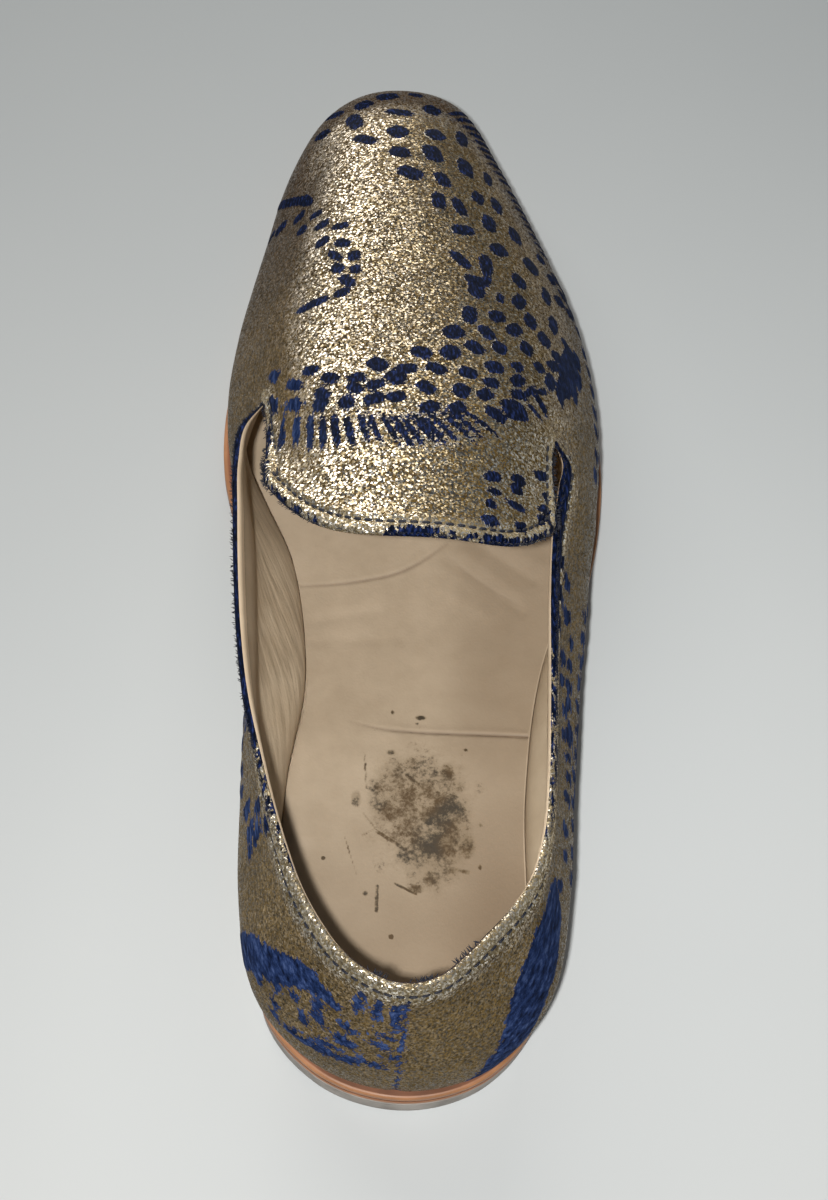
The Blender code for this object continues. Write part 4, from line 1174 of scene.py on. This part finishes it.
def heel_block():
    """Rubber block: rings of the outsole's heel round its middle, worn behind.

    A closed outline (side and hollow breast) is shrunk to the middle for the
    underside and the top; the side rows join them with rounded corners.
    """
    limit = turn(HEEL_BREAST, HEEL_END, TOE_END)
    angle = np.linspace(-limit, limit, HEEL_ROUND_COUNT)
    across = np.linspace(0.0, 1.0, BREAST_COUNT)[1:-1, None]

    def outline(inset):
        side, _ = sole_edge(angle, inset)
        breast = side[-1] * (1 - across) + side[0] * across
        breast[:, 1] -= HEEL_HOLLOW * 4 * across[:, 0] * (1 - across[:, 0])
        return np.concatenate([side, breast])

    def wear_and_shade(plan):
        way = plan @ np.array(WEAR_DIRECTION) - WEAR_START
        return WEAR_DEPTH * np.clip(way / WEAR_LENGTH, 0.0, WEAR_LIMIT) ** WEAR_POWER
    middle = np.array([0.0, HEEL_BREAST / 2])
    top = HEEL_HEIGHT - SEAT_GAP
    under, up, over = (np.linspace(0.0, 1.0, count) for count in HEEL_ROWS)
    low = outline(HEEL_INSET + HEEL_TAPER + HEEL_ROUND)
    plans = [middle + (low - middle) * share for share in under]
    rows = [np.column_stack([plan, wear_and_shade(plan)]) for plan in plans]
    lift = np.minimum(wear_and_shade(outline(HEEL_INSET + HEEL_TAPER)) + HEEL_ROUND, top)
    rows += [np.column_stack([outline(HEEL_INSET + HEEL_TAPER * (1 - share)),
                              lift + (top - lift) * share]) for share in up]
    crown = outline(HEEL_INSET)
    rows += [np.column_stack([middle + (crown - middle) * (1 - share), np.full(len(crown), top)])
             for share in over[1:]]
    grid = np.stack(rows)
    return weld(grid.reshape(-1, 3), grid_faces(numbered(grid), wrap=1, flip=True))


def tint(code):
    """Linear colour of an sRGB hex value."""
    c = np.array([int(code[i:i + 2], 16) for i in (1, 3, 5)]) / 255
    linear = np.where(c <= 0.04045, c / 12.92, ((c + 0.055) / 1.055) ** 2.4)
    return (*linear.tolist(), 1.0)


def per_mm(size):
    """Texture scale for a pattern whose repeat is a size in millimetres."""
    return 1.0 / (size * MM)


def add_node(tree, kind, *values, ramp=(), named=(), out=None, **settings):
    """Add a node, or take one that is there, and give back one of its outputs.

    Settings are its own properties and ramp its colour stops. Values fill its
    live inputs in order, None leaving one as it is, and named pairs fill them
    by name: a socket is linked, a hex colour made linear, the rest set.
    """
    made = tree.nodes.new("ShaderNode" + kind) if isinstance(kind, str) else kind
    for name, value in settings.items():
        setattr(made, name, value)
    for k, (place, code) in enumerate(ramp):
        stops = made.color_ramp.elements
        stop = stops[k] if k < 2 else stops.new(place)
        stop.position = place
        stop.color = tint(code)
    live = [socket for socket in made.inputs if socket.enabled]
    pairs = [*zip(live, values), *((made.inputs[name], value) for name, value in named)]
    for socket, value in pairs:
        if isinstance(value, bpy.types.NodeSocket):
            tree.links.new(value, socket)
        elif value is not None:
            socket.default_value = tint(value) if isinstance(value, str) else value
    return next((o for o in made.outputs if o.enabled and out in (None, o.name)), None)


def blank(name, *carried):
    """New material: itself, a call that adds its nodes, its main shader, the object
    coordinates and the values that the piece's points carry under some names."""
    mat = bpy.data.materials.new(name)
    mat.use_nodes = True
    put = partial(add_node, mat.node_tree)
    values = [put("Attribute", out="Fac", attribute_name=key) for key in carried]
    shader = mat.node_tree.nodes["Principled BSDF"]
    return mat, put, shader, put("TexCoord", out="Object"), *values


# Sizes in mm: one flake of lame foil as it glints, the ragged edge of a woven
# spot, a navy float of thread, the slant twill of the ground, a worn tuft of navy
# and a patch of wear, with the twill's slant and stretch and the tilt of a flake
# on fresh cloth and on rubbed pile
FLAKE = 0.4
RAGGED = 0.7
FLOAT = 0.55
TWILL = 0.7
TUFT = 1.5
WORN_PATCH = 14.0
TWILL_SLANT = (0.5, 0.3, 0.7)
TWILL_STRETCH = (1.0, 0.3, 1.0)
FLAKE_TILT = 0.75
HEEL_TILT = 1.3
NAVY_TILT = 0.15


def gold_brocade():
    """Lame brocade: flat gold foil threads that glint one by one over a brown ground,
    with spots of matt navy thread lying a little proud. The foil threads are finer than
    the render can show, so each glint is drawn as a flake 0.4 mm wide."""
    mat, put, shader, place, soil, heel, fresh, hem, spot = blank(
        "gold_lame_brocade", "soil", "heel", "fresh", "hem_mm", "spot_mm")
    flake = put("TexVoronoi", place, per_mm(FLAKE), out="Color")
    tone = put("SeparateColor", flake)
    slant = put("Mapping", place, None, TWILL_SLANT, TWILL_STRETCH)
    twill = put("TexNoise", slant, per_mm(TWILL), 2.0)
    tuft = put("TexNoise", slant, per_mm(TUFT), 4.0, 0.7)
    floats = put("TexNoise", slant, per_mm(FLOAT), 3.0)
    patch = put("TexNoise", place, per_mm(WORN_PATCH), 3.0)
    fray = put("TexNoise", place, per_mm(RAGGED), 2.0)
    pile = put("Math", soil, heel, operation="MULTIPLY")
    rim = put("MapRange", hem, 4.4, 2.0)

    # Gold: a tone for each flake, darkened by painted shade on the walls and steep faces
    # (deepest towards the toe), paler on the corded rim, brighter on the tongue by a painted
    # highlight
    gold = put("ValToRGB", tone, ramp=(
        (0.0, "#362a13"), (1.0, "#fffaf1"), (0.3, "#594824"), (0.47, "#b0a283")))
    wall_shade_colour = put("ValToRGB", heel, ramp=((0.0, "#3a2812"), (1.0, "#6c5a39")))
    for amount, over in ((put("MapRange", soil, 0.0, 0.75, 0.0, 0.9), wall_shade_colour),
                         (put("MapRange", rim, 0.0, 1.0, 0.0, 0.14), "#f0e2bf")):
        gold = put("Mix", amount, gold, over, data_type="RGBA")
    # Brightness of the gold: twill, patches of wear, and a painted highlight on the tongue
    light = put("MapRange", twill, 0.32, 0.66, 0.5, 1.15)
    for factor in (put("MapRange", patch, 0.3, 0.7, 0.85, 1.12),
                   put("MapRange", fresh, 0.0, 1.0, 1.0, 1.5)):
        light = put("Math", light, factor, operation="MULTIPLY")
    gold = put("VectorMath", gold, light, operation="SCALE")
    gold = put("VectorMath", gold, (1.0, 1.0, 1.0), operation="MINIMUM")

    # Navy: spots with a ragged edge, frizzed on rubbed pile and along the rim; lighter
    # blue on the rubbed pile of the heel walls, partly faded tufts and partly painted light
    edge = put("MapRange", fray, 0.2, 0.8, -0.15, 0.68)
    wild = put("Math", pile, rim, operation="MAXIMUM")
    frizz = put("MapRange", tuft, 0.3, 0.7, -1.3, 1.0)
    edge = put("Math", frizz, wild, edge, operation="MULTIPLY_ADD")
    depth = put("Math", spot, edge, operation="ADD")
    mask = put("MapRange", depth, -0.1, 0.1)
    navy = put("ValToRGB", floats, ramp=((0.3, "#03050b"), (0.74, "#25366a"), (0.52, "#0a132a")))
    faded_and_lit = put("ValToRGB", tuft, ramp=(
        (0.34, "#0b1126"), (0.66, "#4a5d8a"), (0.46, "#1c2b4e"), (0.55, "#2a3c68")))
    navy = put("Mix", pile, navy, faded_and_lit, data_type="RGBA")

    # Gloss: foil is metal, less so under the painted shade and on the rim, and each
    # flake leans its own way
    metal = put("MapRange", tone, 0.2, 0.5, 0.15, 1.0)
    for factor in (put("Math", 1.0, mask, operation="SUBTRACT"),
                   put("MapRange", soil, 0.0, 0.6, 1.0, 0.05),
                   put("MapRange", rim, 0.0, 1.0, 1.0, 0.75)):
        metal = put("Math", metal, factor, operation="MULTIPLY")
    sheen = put("MapRange", tone, 0.3, 0.8, 0.5, 0.2)
    tilt = put("MapRange", pile, 0.0, 1.0, FLAKE_TILT, HEEL_TILT)
    tilt = put("Mix", mask, tilt, NAVY_TILT)
    lean = put("VectorMath", flake, (0.5, 0.5, 0.5), operation="SUBTRACT")
    lean = put("VectorMath", lean, tilt, operation="SCALE")
    facet = put("VectorMath", put("NewGeometry", out="Normal"), lean, operation="ADD")
    facet = put("VectorMath", facet, operation="NORMALIZE")
    proud = put("Math", floats, mask, operation="MULTIPLY")
    put(shader, named=(
        ("Base Color", put("Mix", mask, gold, navy, data_type="RGBA")),
        ("Metallic", metal),
        ("Roughness", put("Mix", mask, sheen, 0.8)),
        ("Normal", put("Bump", 0.5, 0.2 * MM, None, proud, facet)),
        ("Specular IOR Level", put("MapRange", soil, 0.0, 0.6, 0.5, 0.05)),
        ("Specular Tint", put("Mix", mask, "#a07a3c", "#404a66", data_type="RGBA"))))
    return mat


def calf_lining(name, dark, light, gloss, *carried):
    """Calf leather lining: smooth, pale, softly mottled, with a fine pebbled grain."""
    mat, put, shader, place, *values = blank(name, *carried)
    cloud = put("TexNoise", place, per_mm(11.0), 5.0, 0.6)
    base = put("ValToRGB", cloud, ramp=((0.32, dark), (0.68, light)))
    pebble = put("TexVoronoi", place, per_mm(0.6), feature="SMOOTH_F1")
    fine = put("TexNoise", place, per_mm(0.9), 3.0)
    grain = put("Bump", 0.25, 0.12 * MM, None, pebble)
    grain = put("Bump", 0.3, 0.15 * MM, None, fine, grain)
    rough = put("MapRange", fine, 0.0, 1.0, gloss - 0.08, gloss + 0.08)
    put(shader, named=(("Roughness", rough), ("Normal", grain)))
    return mat, put, shader, place, base, grain, *values


def edged_lining():
    """Calf leather lining of the upper: pulled into fine lines on the big-toe side, darkened
    along them by painted shade, with a paler cut strip just inside the folded edge that is
    torn and dark behind the heel, and a painted shadow at the back by the big-toe side."""
    mat, put, shader, place, base, grain, hem, across, along, amount, grimy, torn = calf_lining(
        "calf_leather_lining", "#cfc0aa", "#e0d3bf", 0.55,
        "hem_mm", "pull_across", "pull_along", "pull_amount", "grimy", "torn")
    wave = put("TexNoise", place, per_mm(4.0), 4.0, 0.7)
    ragged = put("Math", hem, wave, operation="ADD")
    strip = put("ValToRGB", put("MapRange", ragged, 0.0, 5.0), ramp=(
        (0.0, "#f4ece2"), (1.0, "#ece6dc"), (0.36, "#f2eae0"), (0.4, "#a0968c"),
        (0.46, "#d8d0c4")))
    colour = put("Mix", 1.0, base, strip, data_type="RGBA", blend_type="MULTIPLY")
    slow = put("Math", along, 0.1, operation="MULTIPLY")
    lines = put("TexNoise", put("CombineXYZ", across, slow), 0.62, 3.0)
    # Painted shade darkens the fine pulled lines
    fold = put("MapRange", lines, 0.36, 0.5, 0.32, 0.0)
    frayed = put("MapRange", ragged, 2.5, 2.2)
    # Painted shade in the pulled lines, a painted shadow at the back by the big-toe side, then the
    # torn edge
    for much, over in ((put("Math", fold, amount, operation="MULTIPLY"), "#6a5640"),
                       (put("MapRange", grimy, 0.0, 1.0, 0.0, 0.85), "#2e2118"),
                       (put("Math", frayed, torn, operation="MULTIPLY"), "#2b1f28")):
        colour = put("Mix", much, colour, over, data_type="RGBA")
    pulled = put("Math", lines, amount, operation="MULTIPLY")
    bump = put("Bump", 0.7, 0.6 * MM, None, pulled, grain)
    put(shader, named=(("Base Color", colour), ("Normal", bump)))
    return mat


def sock_leather():
    """Calf leather sock: matt and pale, creased, with ground-in dirt in blots and thin
    scratches, brown in places and grey in others, painted shade in its creases and
    towards its heel and little-toe side, and a painted shadow along its back edge."""
    mat, put, shader, place, colour, _, crease, wear_and_shade, edge_shadow, dirt = calf_lining(
        "calf_leather_sock", "#ab9a83", "#b8a790", 0.6, "crease", "wear_and_shade", "edge_shadow", "dirt")
    blot = put("TexNoise", place, per_mm(4.6), 9.0, 0.8)
    grit = put("TexNoise", place, per_mm(0.8), 2.0)
    tone = put("TexNoise", place, per_mm(12.0), 3.0)
    patchy = put("MapRange", blot, 0.0, 1.0, -1.15, 1.15)
    total = put("Math", dirt, patchy, operation="ADD")
    total = put("Math", total, put("MapRange", grit, 0.0, 1.0, -0.3, 0.3), operation="ADD")
    half = put("Math", patchy, 0.5, dirt, operation="MULTIPLY_ADD")
    soil = put("ValToRGB", tone, ramp=((0.42, "#503c22"), (0.58, "#332d24")))
    # Painted shade along the creases and towards the heel and little-toe side, a painted shadow by
    # the back edge, then the real dirt of blots and scratches
    for much, over in ((crease, "#5a4637"), (wear_and_shade, "#84725c"), (edge_shadow, "#1a110b"),
                       (put("MapRange", half, 0.24, 0.72, 0.0, 0.62), "#665434"),
                       (put("MapRange", total, 0.46, 0.78, 0.0, 0.9), soil)):
        colour = put("Mix", much, colour, over, data_type="RGBA")
    put(shader, named=(("Base Color", colour),))
    return mat


def tan_sole_leather():
    """Vegetable-tanned sole leather: an orange-tan waxed edge with a dark groove, a soft
    sheen along the side, and a bare, scuffed underside."""
    mat, put, shader, place, share = blank("tan_sole_leather", "edge_share")
    layer = put("MapRange", share, EDGE_BELOW, EDGE_ABOVE)
    band = put("ValToRGB", layer, ramp=(
        (0.0, "#9c8468"), (1.0, "#7d5138"), (0.13, "#8d6a4d"), (0.2, "#a8714b"),
        (0.47, "#b57b52"), (0.515, "#3f2416"), (0.565, "#3f2416"), (0.61, "#b27a52"),
        (0.82, "#b98359"), (0.9, "#8a583c")))
    streak = put("Mapping", place, None, None, (0.25, 0.25, 2.0))
    fibre = put("TexNoise", streak, per_mm(1.6), 4.0)
    cloud = put("TexNoise", place, per_mm(9.0), 4.0)
    both = put("Math", put("MapRange", fibre, 0.3, 0.7, 0.8, 1.1),
               put("MapRange", cloud, 0.3, 0.7, 0.82, 1.08), operation="MULTIPLY")
    put(shader, named=(
        ("Base Color", put("VectorMath", band, both, operation="SCALE")),
        ("Roughness", put("MapRange", cloud, 0.0, 1.0, 0.34, 0.6)),
        ("Normal", put("Bump", 0.35, 0.2 * MM, None, fibre))))
    return mat


def grey_rubber():
    """Moulded pale rubber: matt, slightly gritty, grey, patchily darker along the ground."""
    mat, put, shader, place = blank("grey_heel_rubber")
    cloud = put("TexNoise", place, per_mm(7.0), 5.0)
    grit = put("TexNoise", place, per_mm(0.7), 3.0)
    base = put("ValToRGB", cloud, ramp=((0.3, "#8f8881"), (0.7, "#bab3ac")))
    high = put("SeparateXYZ", place, out="Z")
    low_darkening = put("Math", put("MapRange", high, 0.0, 2.0 * MM, 0.55, 0.0), grit, operation="MULTIPLY")
    put(shader, named=(
        ("Base Color", put("Mix", low_darkening, base, "#4e463e", data_type="RGBA")),
        ("Roughness", 0.82),
        ("Normal", put("Bump", 0.4, 0.2 * MM, None, grit))))
    return mat


def dark_thread():
    """Polyester sewing thread: near black navy, twisted, with a dull sheen."""
    mat, put, shader, place = blank("navy_sewing_thread")
    twist = put("TexWave", place, per_mm(0.5), 1.5, bands_direction="DIAGONAL")
    put(shader, named=(
        ("Base Color", put("ValToRGB", twist, ramp=((0.2, "#0b0d15"), (0.9, "#23283a")))),
        ("Roughness", 0.6),
        ("Normal", put("Bump", 0.4, 0.08 * MM, None, twist))))
    return mat


# Floor: half its width, its cells, and where its painted shade runs from light to dark
FLOOR_HALF = 4.0
FLOOR_CELLS = 8
FLOOR_LIGHT = -0.24
FLOOR_DARK = 0.26


def pale_floor():
    """Painted board: pale cool grey, matt, hardly mottled, darker towards the toe by painted shade.
    """
    mat, put, shader, place = blank("pale_painted_floor")
    cloud = put("TexNoise", place, per_mm(120.0), 3.0)
    # Painted shade: the floor darkens towards the toe, standing in for light falling off
    near = put("MapRange", put("SeparateXYZ", place, out="Y"), FLOOR_LIGHT, FLOOR_DARK, 0.9, 0.0)
    total = put("Math", cloud, 0.12, near, operation="MULTIPLY_ADD")
    base = put("ValToRGB", total, ramp=((0.0, "#a3abb0"), (1.0, "#d4d8d9")))
    put(shader, named=(("Base Color", base), ("Roughness", 0.55)))
    return mat


def linked(name, data):
    """Object of some data, linked to the scene."""
    made = bpy.data.objects.new(name, data)
    bpy.context.scene.collection.objects.link(made)
    return made


def piece(name, node, slot, materials, points, faces, values=None, finish=None):
    """Object from points seen from the heel, smooth shaded, riding on the shoe's body.

    Values are what its points carry for the materials, finish which material a
    face has, and node the solid that it replaces, if any.
    """
    mesh = bpy.data.meshes.new(name)
    faces = faces if isinstance(faces, list) else faces.tolist()
    mesh.from_pydata((points - MIDDLE).tolist(), [], faces)
    mesh.polygons.foreach_set("use_smooth", np.ones(len(mesh.polygons), bool))
    for mat in materials:
        mesh.materials.append(mat)
    if finish is not None:
        mesh.polygons.foreach_set("material_index", finish)
    for key, column in (values or {}).items():
        store = mesh.attributes.new(key, "FLOAT", "POINT")
        store.data.foreach_set("value", column.astype(np.float32))
    mesh.update()
    made = linked(name, mesh)
    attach(made, "root")
    if node:
        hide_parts(node)


*shell, opening, fold_navy = upper_shell()
piece("upper_cloth", "upper", "upper", [gold_brocade(), edged_lining()], *shell)
thread = [dark_thread()]
piece("edge_stitching", None, "upper", thread, *edge_stitches(*opening))
edge, edge_normals, edge_away, _ = opening
fuzz_start = edge + (edge_away - FUZZ_INSIDE * edge_normals) * FUZZ_START
fuzz_likely = np.clip(fold_navy + FUZZ_NAVY[0], *FUZZ_NAVY[1:])
piece("edge_fuzz", None, "upper", thread,
      *loose_fibres(fuzz_start, edge_away, edge_normals, fuzz_likely, *EDGE_FUZZ))
torn_likely = (edge[:, 1] < TORN_REACH) * sum(
    bell(edge[:, 0] - at * MM, wide * MM) for at, wide in TORN_PLACES)
piece("torn_threads", None, "upper", thread,
      *loose_fibres(edge - edge_normals * TORN_INSIDE, -edge_normals, edge_away, torn_likely,
                    *TORN_THREADS))
piece("sock", "insole", "insole", [sock_leather()], *insole_plate())
piece("leather_sole", "outsole", "outsole", [tan_sole_leather()], *outsole_plate())
piece("heel_rubber", "heel", "heel", [grey_rubber()], *heel_block())

floor_side = np.linspace(-FLOOR_HALF, FLOOR_HALF, FLOOR_CELLS + 1)
floor_points = np.stack(np.meshgrid(floor_side, floor_side, 0.0, indexing="ij"), -1)[:, :, 0]
floor_mesh = bpy.data.meshes.new("floor")
floor_mesh.from_pydata(floor_points.reshape(-1, 3).tolist(), [],
                       grid_faces(numbered(floor_points)).tolist())
floor_mesh.materials.append(pale_floor())
linked("floor", floor_mesh)

# Camera: the photo's place, aimed at the middle of the one shoe
CAMERA_TILT = np.radians(26.62)
CAMERA_YAW = np.radians(4.75)
CAMERA_ROLL = np.radians(2.35)
CAMERA_DISTANCE = 650.0 * MM
CAMERA_TARGET = np.array([-42.4, 114.8, 30.0]) * MM
FOCAL_PIXELS = 2588.0
IMAGE_WIDTH = 828.0
IMAGE_HEIGHT = 1200.0
SHOE_PIXEL = (587.5, 608.0)
SENSOR = 36.0
ZOOM = 1.07


def aimed_camera():
    """Camera place and axes: the photo's view, turned by the least turn to face one pixel."""
    low = np.sin(CAMERA_TILT)
    back = np.array([np.sin(CAMERA_YAW) * low, -np.cos(CAMERA_YAW) * low, np.cos(CAMERA_TILT)])
    right = unit(np.cross(-back, (0.0, 1.0, 0.0)))
    above = np.cross(right, -back)
    right, above = (right * np.cos(CAMERA_ROLL) + above * np.sin(CAMERA_ROLL),
                    above * np.cos(CAMERA_ROLL) - right * np.sin(CAMERA_ROLL))
    aim = (-back + right * (SHOE_PIXEL[0] - IMAGE_WIDTH / 2) / FOCAL_PIXELS
           + above * (IMAGE_HEIGHT / 2 - SHOE_PIXEL[1]) / FOCAL_PIXELS)
    swing = Vector(-back).rotation_difference(Vector(aim)).to_matrix()
    axes = swing @ Matrix(np.stack([right, above, back], axis=1).tolist())
    return CAMERA_TARGET + back * CAMERA_DISTANCE - MIDDLE, axes


eye, axes = aimed_camera()
camera_data = bpy.data.cameras.new("camera")
camera_data.sensor_width = SENSOR
camera_data.lens = FOCAL_PIXELS / IMAGE_HEIGHT * SENSOR * ZOOM
camera = linked("camera", camera_data)
camera.matrix_world = Matrix.Translation(Vector(eye)) @ axes.to_4x4()
bpy.context.scene.camera = camera


def lamp(name, place, aim, power, width, height, colour, spread=180):
    """Soft light of a width and height at a place, facing a point, spread in degrees."""
    data = bpy.data.lights.new(name, "AREA")
    data.energy = power
    data.shape = "RECTANGLE"
    data.size = width
    data.size_y = height
    data.spread = np.radians(spread)
    data.color = tint(colour)[:3]
    facing = (Vector(aim) - Vector(place)).to_track_quat("-Z", "Y").to_matrix()
    linked(name, data).matrix_world = Matrix.Translation(Vector(place)) @ facing.to_4x4()


# Lights: place, point they face, watts, width, height, colour, spread
lamp("key_light", (-0.06, -0.36, 0.7), (0.04, -0.05, 0.0), 1.06, 0.025, 0.025, "#fffcf8", 80)
lamp("toe_light", (-0.52, 2.03, 0.92), (0.0, 0.0, 0.04), 46.0, 2.5, 1.4, "#fff8ee")
lamp("soft_light", (0.1, -0.65, 1.15), (0.0, -0.2, 0.02), 0.3, 0.8, 0.8, "#eef3ff")
world = bpy.data.worlds.new("studio")
world.use_nodes = True
add_node(world.node_tree, world.node_tree.nodes["Background"], "#dfe4ea", 0.07)
bpy.context.scene.world = world
bpy.context.scene.view_settings.view_transform = "Standard"
